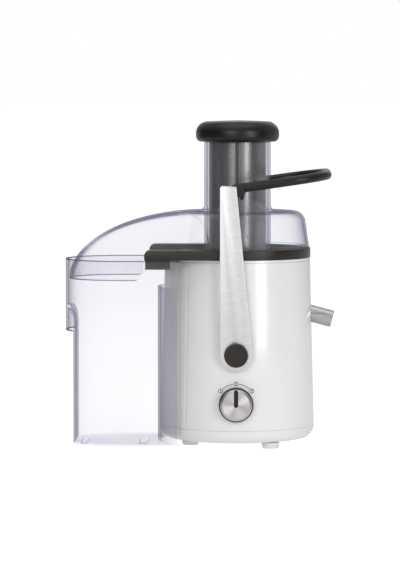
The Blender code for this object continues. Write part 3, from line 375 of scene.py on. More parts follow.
FINISHES = {
    "white": moulded("white_gloss", (0.84, 0.84, 0.835), (0.87, 0.87, 0.865), 0.2, 0.03, 0.3),
    "foot": moulded("soft_white", (0.74, 0.74, 0.73), (0.8, 0.8, 0.79), 0.55, 0.25),
    "dark": moulded("brown_black_satin", (0.021, 0.015, 0.013), (0.03, 0.022, 0.019), 0.36, 0.1, shine=0.35),
    "black": moulded("black_satin", (0.007, 0.006, 0.0055), (0.012, 0.0105, 0.0095), 0.33, 0.08, shine=0.35),
    "rubber": moulded("black_rubber", (0.03, 0.03, 0.03), (0.05, 0.05, 0.05), 0.8, 0.4),
    "board": moulded("green_board", (0.03, 0.12, 0.06), (0.05, 0.2, 0.1), 0.5, 0.3),
    "lid": clear_plastic("clear_lid", (0.98, 0.98, 0.99), (0.17, 0.16, 0.31), (0.045, 0.22), 4.2),
    "vessel": clear_plastic("clear_vessel", (0.985, 0.985, 0.992), (0.24, 0.23, 0.36), (0.05, 0.2), 4.2),
    # rim: a darker tint that paints a dark edge line on clear rims, in place of the refraction that the
    # see-through shading leaves out
    "rim": clear_plastic("clear_rim_painted_edge_line", (0.5, 0.48, 0.62), (0.08, 0.07, 0.2), (0.1, 0.2), 1.2),
    "flat": clear_plastic("clear_flat", (0.985, 0.985, 0.99), (0.84, 0.83, 0.9), (0.03, 0.08), 4.2),
    "strip": brushed("brushed_strip", (0.68, 0.67, 0.69), (0.80, 0.79, 0.81), 0.38, (90, 90, 1500), 0.15),
    "spout": brushed("brushed_spout", (0.50, 0.48, 0.49), (0.56, 0.54, 0.55), 0.3, (12, 260, 260), 0.04),
    "sleeve": brushed("dark_sleeve", (0.17, 0.167, 0.164), (0.2, 0.196, 0.193), 0.3, (900, 900, 6), 0.02),
    "steel": brushed("plain_steel", (0.5, 0.5, 0.52), (0.64, 0.64, 0.66), 0.32, (300, 300, 300), 0.1),
    "cast": brushed("cast_metal", (0.4, 0.4, 0.4), (0.55, 0.55, 0.55), 0.5, (400, 400, 400), 0.5),
    "laminated": brushed("stacked_sheet", (0.22, 0.215, 0.21), (0.42, 0.41, 0.4), 0.45, (5, 5, 2200), 0.5),
    "spun": spun_metal(),
    "strainer": sheet_with_painted_holes("strainer_sheet"),
    "copper": wound_wire(),
}
SLOT_FINISH = {
    "white_housing": "white", "foot_plastic": "foot", "dark_collar": "dark", "black_grip": "black",
    "clear_plastic": "lid", "brushed_strip": "strip", "dark_sleeve": "sleeve", "steel": "steel",
    "cast_metal": "cast", "lamination": "laminated", "copper": "copper", "rubber": "rubber",
    "electrics": "board",
}
NODE_SLOT = {part["node"]: part["material_slot"] for part in frame["record"]["subparts"]}
NODE_BODY = {node: body for body, group in frame["record"]["behaviour"]["bodies"].items() for node in group}
SPECIAL = {
    "filter_mesh": "strainer", "grater_disc": "strainer", "rotary_switch": "dark", "interlock_switch": "dark",
}


def finish_cad_nodes():
    for node, piece in frame["nodes"].items():
        finish = SPECIAL.get(node, SLOT_FINISH[NODE_SLOT[node]])
        piece.data.materials.clear()
        piece.data.materials.append(FINISHES[finish])


# ---------------------------------------------------------------- modelling tools


def deselect():
    bpy.ops.object.select_all(action="DESELECT")


def edit(piece):
    if bpy.context.mode != "OBJECT":
        bpy.ops.object.mode_set(mode="OBJECT")
    deselect()
    bpy.context.view_layer.objects.active = piece
    piece.select_set(True)
    bpy.ops.object.mode_set(mode="EDIT")


def leave():
    if bpy.context.mode != "OBJECT":
        bpy.ops.object.mode_set(mode="OBJECT")


def pick(piece, test, kind="VERT"):
    """In edit mode, selects the corners, edges or faces whose every corner passes the test."""
    bpy.ops.mesh.select_mode(type=kind)
    bpy.ops.mesh.select_all(action="DESELECT")
    form = bmesh.from_edit_mesh(piece.data)
    items = {"VERT": form.verts, "EDGE": form.edges, "FACE": form.faces}[kind]
    for item in items:
        corners = [item] if kind == "VERT" else item.verts
        if all(test(corner.co) for corner in corners):
            item.select_set(True)
    bmesh.update_edit_mesh(piece.data)


def drawn(name, points, closed=False, filled=False):
    """A line drawn by extruding one corner from point to point; it stays in edit mode."""
    leave()
    deselect()
    bpy.ops.mesh.primitive_plane_add(size=0.001)
    piece = bpy.context.object
    piece.name = name
    piece.data.name = name
    bpy.ops.object.mode_set(mode="EDIT")
    bpy.ops.mesh.select_mode(type="VERT")
    bpy.ops.mesh.select_all(action="SELECT")
    bpy.ops.mesh.merge(type="CENTER")
    bpy.ops.transform.translate(value=points[0])
    for a, b in zip(points, points[1:]):
        bpy.ops.mesh.extrude_region_move(TRANSFORM_OT_translate={"value": Vector(b) - Vector(a)})
    if closed or filled:
        first, last = Vector(points[0]), Vector(points[-1])
        pick(piece, lambda co: min((co - first).length, (co - last).length) < 0.000005)
        bpy.ops.mesh.edge_face_add()
    if filled:
        bpy.ops.mesh.select_all(action="SELECT")
        bpy.ops.mesh.edge_face_add()
    return piece


def tidy_mesh(piece):
    bpy.ops.mesh.select_all(action="SELECT")
    bpy.ops.mesh.remove_doubles(threshold=0.000002)
    bpy.ops.mesh.normals_make_consistent(inside=False)
    leave()
    return piece


def turned(name, profile, centre=AXIS, out=UP, across=RIGHT, steps=96, sweep=TURN, closed=False):
    """A profile of radius and height, spun about an axis that points out from centre."""
    points = [Vector(centre) + across * radius + out * height for radius, height in profile]
    piece = drawn(name, points, closed)
    bpy.ops.mesh.select_all(action="SELECT")
    bpy.ops.mesh.spin(steps=steps, angle=-sweep, center=centre, axis=out)
    return tidy_mesh(piece)


def slab(name, outline, low, high, upright=False):
    """A flat outline given a thickness: over X and Y or, upright, over X and Z."""
    if upright:
        points = [(AXIS.x + a, low, b) for a, b in outline]
        move = (0, high - low, 0)
    else:
        points = [(AXIS.x + a, b, low) for a, b in outline]
        move = (0, 0, high - low)
    piece = drawn(name, points, filled=True)
    bpy.ops.mesh.select_all(action="SELECT")
    bpy.ops.mesh.extrude_region_move(TRANSFORM_OT_translate={"value": move})
    return tidy_mesh(piece)


def box_piece(name, low, high):
    leave()
    deselect()
    centre = (Vector(low) + Vector(high)) / 2
    bpy.ops.mesh.primitive_cube_add(size=1, location=centre, scale=Vector(high) - Vector(low))
    bpy.ops.object.transform_apply(location=True, rotation=True, scale=True)
    piece = bpy.context.object
    piece.name = name
    return piece


def arc(centre, radius, start, end, steps):
    """Points round a circle, or an ellipse for two radii; angles in degrees."""
    wide, tall = radius if isinstance(radius, tuple) else (radius, radius)
    angles = [math.radians(start + (end - start) * i / steps) for i in range(steps + 1)]
    return [(centre[0] + wide * math.cos(a), centre[1] + tall * math.sin(a)) for a in angles]


def applied(piece, modifier):
    leave()
    deselect()
    bpy.context.view_layer.objects.active = piece
    piece.select_set(True)
    bpy.ops.object.modifier_apply(modifier=modifier.name)
    return piece


def worked(piece, operation, other):
    """Adds, cuts away or keeps what another solid covers, which is used up."""
    leave()
    step = piece.modifiers.new("work", "BOOLEAN")
    step.operation = operation
    step.solver = "EXACT"
    step.object = other
    applied(piece, step)
    bpy.data.objects.remove(other)
    return piece


def rounded(piece, width, segments=3, angle=40):
    step = piece.modifiers.new("edges", "BEVEL")
    step.width = width
    step.segments = segments
    step.limit_method = "ANGLE"
    step.angle_limit = math.radians(angle)
    step.harden_normals = False
    return applied(piece, step)


def finished(piece, finish, body, slot, *nodes, angle=35):
    """Smooths and colours a piece, and hangs it on its body in place of the plain nodes."""
    leave()
    deselect()
    bpy.context.view_layer.objects.active = piece
    piece.select_set(True)
    bpy.ops.object.shade_smooth_by_angle(angle=math.radians(angle))
    piece.data.materials.clear()
    piece.data.materials.append(FINISHES[finish])
    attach(piece, body)
    if nodes:
        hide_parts(*nodes)
    return piece


def closed_up(piece):
    """Fills any small gap left along a seam between joined solids."""
    edit(piece)
    bpy.ops.mesh.select_mode(type="EDGE")
    bpy.ops.mesh.select_all(action="DESELECT")
    bpy.ops.mesh.select_non_manifold(extend=False, use_wire=False, use_boundary=True, use_multi_face=False,
                                     use_non_contiguous=False, use_verts=False)
    bpy.ops.mesh.fill_holes(sides=0)
    return tidy_mesh(piece)


def scored(piece, *levels):
    """Cuts lines round a piece at some heights, so that a band can take its own material, such as the painted dark
    edge line of a clear rim.
    """
    edit(piece)
    for level in levels:
        bpy.ops.mesh.select_all(action="SELECT")
        bpy.ops.mesh.bisect(plane_co=(0, 0, level), plane_no=UP)
    leave()


def faced(piece, finish, test):
    """Gives the faces that pass a test of place and direction another material, such as the painted dark edge line
    of a clear rim.
    """
    piece.data.materials.append(FINISHES[finish])
    index = len(piece.data.materials) - 1
    for face in piece.data.polygons:
        if test(face.center - AXIS, face.normal):
            face.material_index = index


def smoothed_node(node, angle=35):
    """A copy of a plain node with its triangles merged, so that it can be shaded smooth."""
    leave()
    deselect()
    source = frame["nodes"][node]
    piece = source.copy()
    piece.data = source.data.copy()
    piece.name = node + "_smooth"
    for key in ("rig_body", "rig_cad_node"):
        if key in piece:
            del piece[key]
    piece.parent = None
    bpy.context.scene.collection.objects.link(piece)
    edit(piece)
    bpy.ops.mesh.select_all(action="SELECT")
    bpy.ops.mesh.remove_doubles(threshold=0.000005)
    bpy.ops.mesh.dissolve_limited(angle_limit=math.radians(0.5))
    leave()
    finish = SPECIAL.get(node, SLOT_FINISH[NODE_SLOT[node]])
    return finished(piece, finish, NODE_BODY[node], NODE_SLOT[node], node, angle=angle)


# ---------------------------------------------------------------- housing

PANEL_LOW, PANEL_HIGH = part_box("front_panel")
BODY_LOW_R = AXIS.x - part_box("base_tray")[0].x
BODY_HIGH_R = 0.0876
PANEL_WALL = 0.0024
PANEL_SWEEP = math.radians(262)
SEAM = 0.0006


def body_radius(height):
    share = (height - PANEL_LOW.z) / (PANEL_HIGH.z - PANEL_LOW.z)
    return BODY_LOW_R + (BODY_HIGH_R - BODY_LOW_R) * share


def wall_sector(name, middle_angle, sweep, steps):
    """A sector of the housing wall, closed at both ends; its edges are rounded where it is used."""
    low, high = PANEL_LOW.z, PANEL_HIGH.z
    start = middle_angle - sweep / 2
    across = Vector((math.cos(start), math.sin(start), 0))
    profile = [(body_radius(high), high), (body_radius(low), low), (body_radius(low) - PANEL_WALL, low)]
    profile += [(body_radius(high) - PANEL_WALL, high)]
    wall = turned(name, profile, across=across, steps=steps, sweep=sweep, closed=True)
    edit(wall)
    for end in (start, start + sweep):
        direction = Vector((math.cos(end), math.sin(end), 0))
        side = direction.cross(UP)
        pick(wall, lambda co: abs((co - AXIS).dot(side)) < 0.00001 and (co - AXIS).dot(direction) > 0)
        bpy.ops.mesh.edge_face_add()
    return tidy_mesh(wall)


def make_housing():
    front = wall_sector("housing_front", 0, PANEL_SWEEP, 132)
    hole = turned("hole", [(0, 0.02), (SPOUT_R + 0.0008, 0.02), (SPOUT_R + 0.0008, -0.06), (0, -0.06)],
                  SPOUT_MOUTH, SPOUT_OUT, SPOUT_ACROSS, 48)
    worked(front, "DIFFERENCE", hole)
    rounded(front, 0.0007, 2, 50)
    finished(front, "white", "base", "white_housing", "front_panel")
    seam = SEAM / BODY_HIGH_R
    rear = wall_sector("housing_rear", math.pi, TURN - PANEL_SWEEP - seam, 50)
    rounded(rear, 0.0007, 2, 50)
    finished(rear, "white", "base", "white_housing", "rear_cover")
    for node in ("base_tray", "motor_deck", "cord_gland", "pivot_bush_near", "pivot_bush_far",
                 "foot_front_near", "foot_front_far", "foot_rear_near", "foot_rear_far"):
        smoothed_node(node)


# ---------------------------------------------------------------- collector and spout

COLLAR_R = 0.088
COLLAR_Z = 0.2254
COLLAR_TOP = 0.237
COLLAR_BORE = 0.080
TAIL_REACH = 0.109
TAIL_DECK = 0.2284
RAIL_Y = 0.064
RIB_INNER_Y = 0.059
RIB_OUTER_Y = 0.0615
RIB_LENGTH = 0.030
RIB_DEPTH = 0.0124
BOWL_R = 0.0808
BOWL_FLOOR = 0.1425
BOWL_TUBE_TOP = 0.172
SPOUT_R = 0.0103
SPOUT_BORE = 0.0085
SPOUT_TILT = math.radians(15)
SPOUT_MOUTH = AXIS + Vector((0.1144, 0, 0.1503))
SPOUT_OUT = Vector((math.cos(SPOUT_TILT), 0, -math.sin(SPOUT_TILT)))
SPOUT_ACROSS = Vector((math.sin(SPOUT_TILT), 0, math.cos(SPOUT_TILT)))


def make_collar():
    plan = arc((0, 0), COLLAR_R, 90, -90, 60) + [(-TAIL_REACH, -COLLAR_R), (-TAIL_REACH, COLLAR_R)]
    collar = slab("collar", plan, COLLAR_Z, COLLAR_TOP)
    nose = 0.006
    side = arc((-TAIL_REACH + nose, COLLAR_TOP - nose), nose, 180, 90, 6) + [(0.1, COLLAR_TOP)]
    side += [(0.1, COLLAR_TOP + 0.01), (-TAIL_REACH - 0.01, COLLAR_TOP + 0.01), (-TAIL_REACH - 0.01, COLLAR_Z)]
    side += [(-TAIL_REACH, COLLAR_Z)]
    side = [(x - 0.00001, z + 0.00001) for x, z in side]
    worked(collar, "DIFFERENCE", slab("corner", side, -0.1, 0.1, upright=True))
    bore = turned("bore", [(0, 0.3), (COLLAR_BORE, 0.3), (COLLAR_BORE, 0.1), (0, 0.1)], steps=96)
    worked(collar, "DIFFERENCE", bore)
    low = AXIS + Vector((-TAIL_REACH - 0.02, -RAIL_Y, TAIL_DECK))
    worked(collar, "DIFFERENCE", box_piece("channel", low, AXIS + Vector((-0.03, RAIL_Y, 0.26))))
    rounded(collar, 0.0009, 3, 50)
    wall, corner, floor = 0.002, 0.006, BOWL_FLOOR
    inner = BOWL_R - wall
    profile = [(BOWL_R, TAIL_DECK - 0.001), (BOWL_R, floor + corner)]
    profile += arc((BOWL_R - corner, floor + corner), corner, 0, -90, 5)[1:]
    tube = 0.0175
    profile += [(tube, floor), (tube, BOWL_TUBE_TOP), (tube + wall, BOWL_TUBE_TOP), (tube + wall, floor + wall)]
    profile += arc((inner - corner, floor + wall + corner), corner, -90, 0, 5) + [(inner, TAIL_DECK - 0.001)]
    bowl = turned("bowl", profile, steps=96, closed=True)
    worked(collar, "UNION", bowl)
    for out in (-1, 1):
        ys = sorted((out * RIB_INNER_Y, out * RIB_OUTER_Y))
        low = AXIS + Vector((-TAIL_REACH, ys[0], COLLAR_Z - RIB_DEPTH))
        high = AXIS + Vector((-TAIL_REACH + RIB_LENGTH, ys[1], COLLAR_Z + 0.001))
        worked(collar, "UNION", rounded(box_piece("tail_rib", low, high), 0.0006, 2))
    drain = [(0, 0.02), (SPOUT_R + 0.0002, 0.02), (SPOUT_R + 0.0002, -0.055), (0, -0.055)]
    worked(collar, "DIFFERENCE", turned("drain", drain, SPOUT_MOUTH, SPOUT_OUT, SPOUT_ACROSS, 48))
    closed_up(collar)
    finished(collar, "dark", "base", "dark_collar", "juice_collector")


def make_spout():
    edge = 0.0004
    start = -0.0355
    profile = [(SPOUT_R, start), (SPOUT_R, -edge)] + [(SPOUT_R - edge, 0), (SPOUT_BORE + edge, 0)]
    profile += [(SPOUT_BORE, -edge), (SPOUT_BORE, start)]
    spout = turned("spout", profile, SPOUT_MOUTH, SPOUT_OUT, SPOUT_ACROSS, 64, closed=True)
    finished(spout, "spout", "base", "brushed_strip", "spout_tube")


# ---------------------------------------------------------------- lid

PAINTED_EDGE_BAND = 0.0012
ROOF = 0.281
LID_WALL = 0.0022
LID_CORNER = 0.014
HOOD_START = 0.039
HOOD_FROM = 0.046
HOOD_REACH = 0.203
HOOD_BOTTOM = 0.1995
HOOD_HALF = 0.0615
HOOD_FILLET = 0.014
CAM_INNER_Y = 0.056
CAM_OUTER_Y = 0.061
CAM_RISE = 0.019
CAM_BACK = 0.024
CAM_FRONT = 0.038
NOTCH_R = 0.011
CHUTE_R = 0.040
CHUTE_BORE = 0.0375
CHUTE_TOP = 0.364
CHUTE_LOW = 0.190


def hood_solid(name, inset, low):
    """The hood as one smooth solid: upright sides, a rounded shoulder and a falling roof."""
    half = HOOD_HALF - inset
    reach = HOOD_REACH - inset
    roof = ROOF - inset
    fillet = HOOD_FILLET - inset
    turn_x = -HOOD_REACH + HOOD_HALF
    straight = -HOOD_FROM - turn_x
    length = 2 * straight + math.pi * half
    wall_rows, fillet_rows, roof_rows = 3, 8, 16
    rows = wall_rows + fillet_rows + roof_rows
    columns = 112

    def height(x):
        share = min(1.0, max(0.0, (-x - HOOD_START) / (reach - HOOD_START)))
        return HOOD_BOTTOM + (roof - HOOD_BOTTOM) * math.sqrt(1 - share * share)

    def rim(share):
        """A point on the plan outline, and the point on the spine that it faces."""
        along = share * length
        if along <= straight:
            return Vector((-HOOD_FROM - along, -half)), Vector((-HOOD_FROM - along, 0))
        if along >= length - straight:
            x = -HOOD_FROM - (length - along)
            return Vector((x, half)), Vector((x, 0))
        angle = -math.pi / 2 - (along - straight) / half
        return Vector((turn_x + half * math.cos(angle), half * math.sin(angle))), Vector((turn_x, 0))

    leave()
    deselect()
    bpy.ops.mesh.primitive_grid_add(x_subdivisions=columns, y_subdivisions=rows, size=2)
    piece = bpy.context.object
    piece.name = name
    for corner in piece.data.vertices:
        column = round((corner.co.x + 1) / 2 * columns)
        row = round((corner.co.y + 1) / 2 * rows)
        edge, spine = rim(column / columns)
        edge_height = height(edge.x)
        soft = min(fillet, edge_height - HOOD_BOTTOM)
        if row <= wall_rows:
            place = edge
            level = low + (edge_height - soft - low) * row / wall_rows
        elif row <= wall_rows + fillet_rows:
            angle = (row - wall_rows) / fillet_rows * math.pi / 2
            place = edge.lerp(spine, soft * (1 - math.cos(angle)) / half)
            level = height(place.x) - soft * (1 - math.sin(angle))
        else:
            share = (row - wall_rows - fillet_rows) / roof_rows
            begin = soft / half
            place = edge.lerp(spine, begin + (1 - begin) * share)
            level = height(place.x)
        corner.co = (AXIS.x + place.x, place.y, level)
    edit(piece)
    bpy.ops.mesh.select_all(action="SELECT")
    bpy.ops.mesh.remove_doubles(threshold=0.000002)
    pick(piece, lambda co: abs(co.x - AXIS.x + HOOD_FROM) < 0.00001)
    bpy.ops.mesh.edge_face_add()
    pick(piece, lambda co: co.z < low + 0.00001)
    bpy.ops.mesh.edge_face_add()
    return tidy_mesh(piece)


def make_lid():
    shoulder = 0.082
    wall_low = COLLAR_TOP + 0.0003
    skirt_low = COLLAR_TOP - 0.007
    bottom_r, skirt_r = 0.0865, 0.0794
    crown = (shoulder - LID_CORNER, ROOF - LID_CORNER)
    profile = [(0, ROOF)] + arc(crown, LID_CORNER, 90, 6, 10)
    profile += [(bottom_r, wall_low), (skirt_r, wall_low), (skirt_r, skirt_low), (0, skirt_low)]
    lid = turned("lid_clear", profile, steps=128)
    hood = hood_solid("hood", 0, HOOD_BOTTOM)
    edge = -TAIL_REACH - 0.003
    notch = [(edge - NOTCH_R, HOOD_BOTTOM - 0.01)]
    notch += arc((edge - NOTCH_R, HOOD_BOTTOM + NOTCH_R), NOTCH_R, -90, 0, 8)
    notch += [(edge, TAIL_DECK + 0.0005), (0, TAIL_DECK + 0.0005), (0, HOOD_BOTTOM - 0.01)]
    worked(hood, "DIFFERENCE", slab("notch", notch, -0.1, 0.1, upright=True))
    worked(lid, "UNION", hood)
    foot = ROOF - LID_WALL / 2
    ramp = arc((0, foot), (CAM_BACK, CAM_RISE + LID_WALL / 2), 180, 90, 14)
    ramp += arc((0, foot), (CAM_FRONT, CAM_RISE + LID_WALL / 2), 90, 0, 18)[1:]
    for out in (-1, 1):
        ys = sorted((out * CAM_INNER_Y, out * CAM_OUTER_Y))
        cam = slab("cam", ramp, *ys, upright=True)
        worked(lid, "UNION", cam)
    skirt_inner = skirt_r - LID_WALL
    profile = [(0, ROOF - LID_WALL)] + arc(crown, LID_CORNER - LID_WALL, 90, 6, 10)
    profile += [(bottom_r - LID_WALL, wall_low + LID_WALL), (skirt_inner, wall_low + LID_WALL)]
    profile += [(skirt_inner, skirt_low - 0.01), (0, skirt_low - 0.01)]
    worked(lid, "DIFFERENCE", turned("inside", profile, steps=128))
    worked(lid, "DIFFERENCE", hood_solid("hood_inside", LID_WALL, HOOD_BOTTOM - 0.02))
    tube = [(0, CHUTE_TOP), (CHUTE_R - 0.0008, CHUTE_TOP), (CHUTE_R, CHUTE_TOP - 0.0008)]
    tube += [(CHUTE_R, ROOF + 0.006), (CHUTE_R + 0.0025, ROOF + 0.0015), (CHUTE_R + 0.0045, ROOF - 0.0005)]
    tube += [(CHUTE_R, ROOF - 0.003), (CHUTE_R, CHUTE_LOW), (0, CHUTE_LOW)]
    worked(lid, "UNION", turned("chute", tube, steps=96))
    bore = [(0, CHUTE_TOP + 0.01), (CHUTE_BORE, CHUTE_TOP + 0.01), (CHUTE_BORE, CHUTE_LOW - 0.01)]
    worked(lid, "DIFFERENCE", turned("chute_bore", bore + [(0, CHUTE_LOW - 0.01)], steps=96))
    rib = arc((-0.057, 0.240), (0.024, 0.0385), 90, 0, 12) + arc((-0.057, 0.240), (0.0222, 0.0367), 0, 90, 12)
    worked(lid, "UNION", slab("curved_rib", rib, -0.047, -0.0455, upright=True))
    rail_low = AXIS + Vector((-0.0012, -CHUTE_R + 0.0012, CHUTE_LOW + 0.01))
    rail_high = AXIS + Vector((0.0012, -0.0362, CHUTE_TOP - 0.006))
    worked(lid, "UNION", box_piece("guide_rail", rail_low, rail_high))
    closed_up(lid)
    finished(lid, "lid", "base", "clear_plastic", "lid", angle=30)
    line = HOOD_BOTTOM + PAINTED_EDGE_BAND
    scored(lid, line)
    # painted shade: the hood's bottom edge band takes the darker rim tint as a painted dark edge line
    faced(lid, "rim", lambda place, facing: place.z < line and place.x < -TAIL_REACH)


# ---------------------------------------------------------------- pusher

SLEEVE_R = 0.0342
SLEEVE_WALL = 0.0017
GROOVE = 0.0042
CAP_R = 0.0502


def make_pusher():
    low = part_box("pusher_sleeve")[0].z
    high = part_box("pusher_sleeve")[1].z
    inner = SLEEVE_R - SLEEVE_WALL
    profile = [(SLEEVE_R, high), (SLEEVE_R, low + 0.0005), (SLEEVE_R - 0.0005, low), (inner, low), (inner, high)]
    sleeve = turned("sleeve", profile, steps=128, closed=True)
    cut_low = AXIS + Vector((-GROOVE / 2, -SLEEVE_R - 0.01, low - 0.01))
    cut_high = AXIS + Vector((GROOVE / 2, -inner + 0.002, high + 0.001))
    worked(sleeve, "DIFFERENCE", box_piece("groove", cut_low, cut_high))
    finished(sleeve, "sleeve", "pusher", "dark_sleeve", "pusher_sleeve")
    cap_low, cap_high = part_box("pusher_cap")
    under = high + 0.0003
    top = cap_high.z
    edge_z = 0.3745
    crown = top - edge_z
    profile = [(0, top), (CAP_R - 0.03, top - 0.0006)]
    profile += arc((CAP_R - 0.0145, edge_z), (0.0145, crown - 0.0012), 80, 0, 10)
    profile += arc((CAP_R - 0.006, edge_z - 0.0032), (0.006, edge_z - 0.0032 - under), 0, -90, 6)
    profile += [(0.0322, under), (0.0322, cap_low.z), (0, cap_low.z)]
    cap = turned("cap", profile, steps=128)
    notch_low = AXIS + Vector((-GROOVE / 2, -0.0465, cap_low.z - 0.01))
    notch_high = AXIS + Vector((GROOVE / 2, -SLEEVE_R + 0.0026, under - 0.0002))
    worked(cap, "DIFFERENCE", box_piece("cap_notch", notch_low, notch_high))
    finished(cap, "black", "pusher", "black_grip", "pusher_cap", angle=50)
    for node in ("pusher_plug", "basket_rim", "filter_mesh", "grater_disc", "basket_hub"):
        smoothed_node(node)


# ---------------------------------------------------------------- lock

ARM_END_R = 0.0193
ARM_TOP = 0.314
ARM_TOP_WIDTH = 0.0195
ARM_SHEET = 0.002
ARM_Y = 0.095
CAP_FACE_Y = 0.103
PIVOT_CAP_R = 0.01425
PIN_BORE = 0.0053
BAR_R = 0.0055
BOW_Y = 0.084
BOW_CORNER = 0.048
BOW_FRONT = 0.113
BOW_Z = 0.3103
BOW_RISE = math.tan(math.radians(8))


def make_arms():
    top = ARM_TOP - PIVOT.z
    left = -ARM_END_R
    right = left + ARM_TOP_WIDTH
    touch = math.degrees(math.atan2(top, right) - math.acos(ARM_END_R / math.hypot(right, top)))
    outline = [(left, top - 0.003), (left + 0.0008, top - 0.0008), (left + 0.003, top), (right, top - 0.001)]
    outline += arc((0, 0), ARM_END_R, touch, -180, 48)
    outline = [(x, z + PIVOT.z) for x, z in outline]
    for side, out in (("near", -1), ("far", 1)):
        facing = Vector((0, out, 0))
        ys = sorted((out * ARM_Y, out * (ARM_Y + ARM_SHEET)))
        arm = slab(f"arm_{side}", outline, *ys, upright=True)
        hole = [(0, 0.11), (PIN_BORE, 0.11), (PIN_BORE, 0.09), (0, 0.09)]
        worked(arm, "DIFFERENCE", turned("hole", hole, PIVOT, facing, steps=48))
        rounded(arm, 0.0004, 3)
        finished(arm, "strip", "lock", "brushed_strip", f"lock_arm_{side}")
        start = ARM_Y + ARM_SHEET + 0.0003
        end = CAP_FACE_Y
        r = PIVOT_CAP_R
        profile = [(0, end - 0.0006), (r - 0.0045, end - 0.0003), (r - 0.0015, end - 0.0001)]
        profile += [(r - 0.0004, end - 0.0005), (r, end - 0.0015), (r, start), (PIN_BORE, start)]
        profile += [(PIN_BORE, start + 0.0023), (0, start + 0.0023)]
        cap = turned(f"cap_{side}", profile, PIVOT, facing, steps=96)
        finished(cap, "dark", "lock", "dark_collar", f"pivot_cap_{side}")


def make_handle():
    front = BOW_FRONT - BAR_R
    corner = front - BOW_CORNER
    bend = BOW_Y - BOW_CORNER
    plan = [(-0.004, -BOW_Y), (0.012, -BOW_Y), (0.030, -BOW_Y), (corner * 0.8, -BOW_Y)]
    plan += arc((corner, -bend), BOW_CORNER, -90, 0, 20) + arc((corner, bend), BOW_CORNER, 0, 90, 20)
    plan += [(corner * 0.8, BOW_Y), (0.030, BOW_Y), (0.012, BOW_Y), (-0.004, BOW_Y)]
    points = [(AXIS.x + x, y, BOW_Z + x * BOW_RISE) for x, y in plan]
    handle = drawn("handle", points)
    leave()
    bpy.ops.object.convert(target="CURVE")
    handle = bpy.context.object
    handle.data.bevel_depth = BAR_R
    handle.data.bevel_resolution = 10
    handle.data.use_fill_caps = True
    bpy.ops.object.convert(target="MESH")
    handle = bpy.context.object
    edit(handle)
    tidy_mesh(handle)
    top = ARM_TOP - 0.001
    for out in (-1, 1):
        ys = sorted((out * (BOW_Y - BAR_R - 0.001), out * (ARM_Y - 0.0003)))
        block_low = AXIS + Vector((-0.0144, ys[0], top - 0.0125))
        block_high = AXIS + Vector((0.0096, ys[1], top))
        worked(handle, "UNION", rounded(box_piece("block", block_low, block_high), 0.002, 4))
        ys = sorted((out * (BOW_Y - BAR_R + 0.0005), out * (BOW_Y + 0.001)))
        lug = [(0.0026, top - 0.003), (0.0028, top - 0.009), (0.0045, top - 0.0142)]
        lug += arc((0.0066, top - 0.0143), 0.0021, 180, 320, 7)
        lug += [(0.0106, top - 0.008), (0.0116, top - 0.003)]
        worked(handle, "UNION", rounded(slab("lug", lug, *ys, upright=True), 0.0006, 2, 50))
        ys = sorted((out * 0.055, out * BOW_Y))
        finger_low = AXIS + Vector((-0.005, ys[0], 0.301))
        finger_high = AXIS + Vector((0.0065, ys[1], 0.308))
        worked(handle, "UNION", rounded(box_piece("finger", finger_low, finger_high), 0.0012, 3))
    finished(handle, "black", "lock", "black_grip", "handle_bow", angle=40)


# ---------------------------------------------------------------- knob and dial


def rounded_slot(centre_z, width, length, steps=12):
    half = width / 2
    straight = length / 2 - half
    upper = arc((0, centre_z + straight), half, 0, 180, steps)
    return upper + arc((0, centre_z - straight), half, 180, 360, steps)


def make_knob():
    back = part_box("knob_body")[1].y
    front = -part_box("knob_face")[0].y
    face_back = front - 0.003
    ring_r, face_r, slot_length = 0.0205, 0.019, 0.0205
    body = [(0, face_back - 0.0003), (ring_r - 0.0012, face_back - 0.0003)]
    body += arc((ring_r - 0.0008, face_back - 0.0011), 0.0008, 90, 0, 4)
    body += [(ring_r, -back), (0.0033, -back), (0.0033, face_back - 0.0013), (0, face_back - 0.0013)]
    knob = turned("knob_ring", body, KNOB, NEAR, steps=96)
    finished(knob, "black", "knob", "black_grip", "knob_body")
    profile = [(0, front), (face_r - 0.0028, front), (face_r - 0.0024, front - 0.0002)]
    profile += [(face_r - 0.0003, face_back + 0.0009), (face_r, face_back + 0.0004)]
    profile += [(face_r, face_back), (0, face_back)]
    face = turned("knob_disc", profile, KNOB, NEAR, steps=128)
    centre = KNOB.z + face_r - 0.001 - slot_length / 2
    slot = slab("slot", rounded_slot(centre, 0.005, 0.0211), -front - 0.01, -face_back + 0.01, upright=True)
    worked(face, "DIFFERENCE", slot)
    finished(face, "spun", "knob", "brushed_strip", "knob_face", angle=25)
    pointer = slab("pointer", rounded_slot(centre, 0.0044, slot_length), -front + 0.0008, -face_back, upright=True)
    rounded(pointer, 0.0006, 3)
    finished(pointer, "black", "knob", "black_grip", "knob_pointer")


def laid_on_body(piece, lift):
    """Presses a thin flat mark onto the round housing."""
    leave()
    for corner in piece.data.vertices:
        x = corner.co.x - AXIS.x
        wall = body_radius(corner.co.z)
        depth = corner.co.y
        corner.co.y = -math.sqrt(wall * wall - x * x) - lift - depth
    return piece


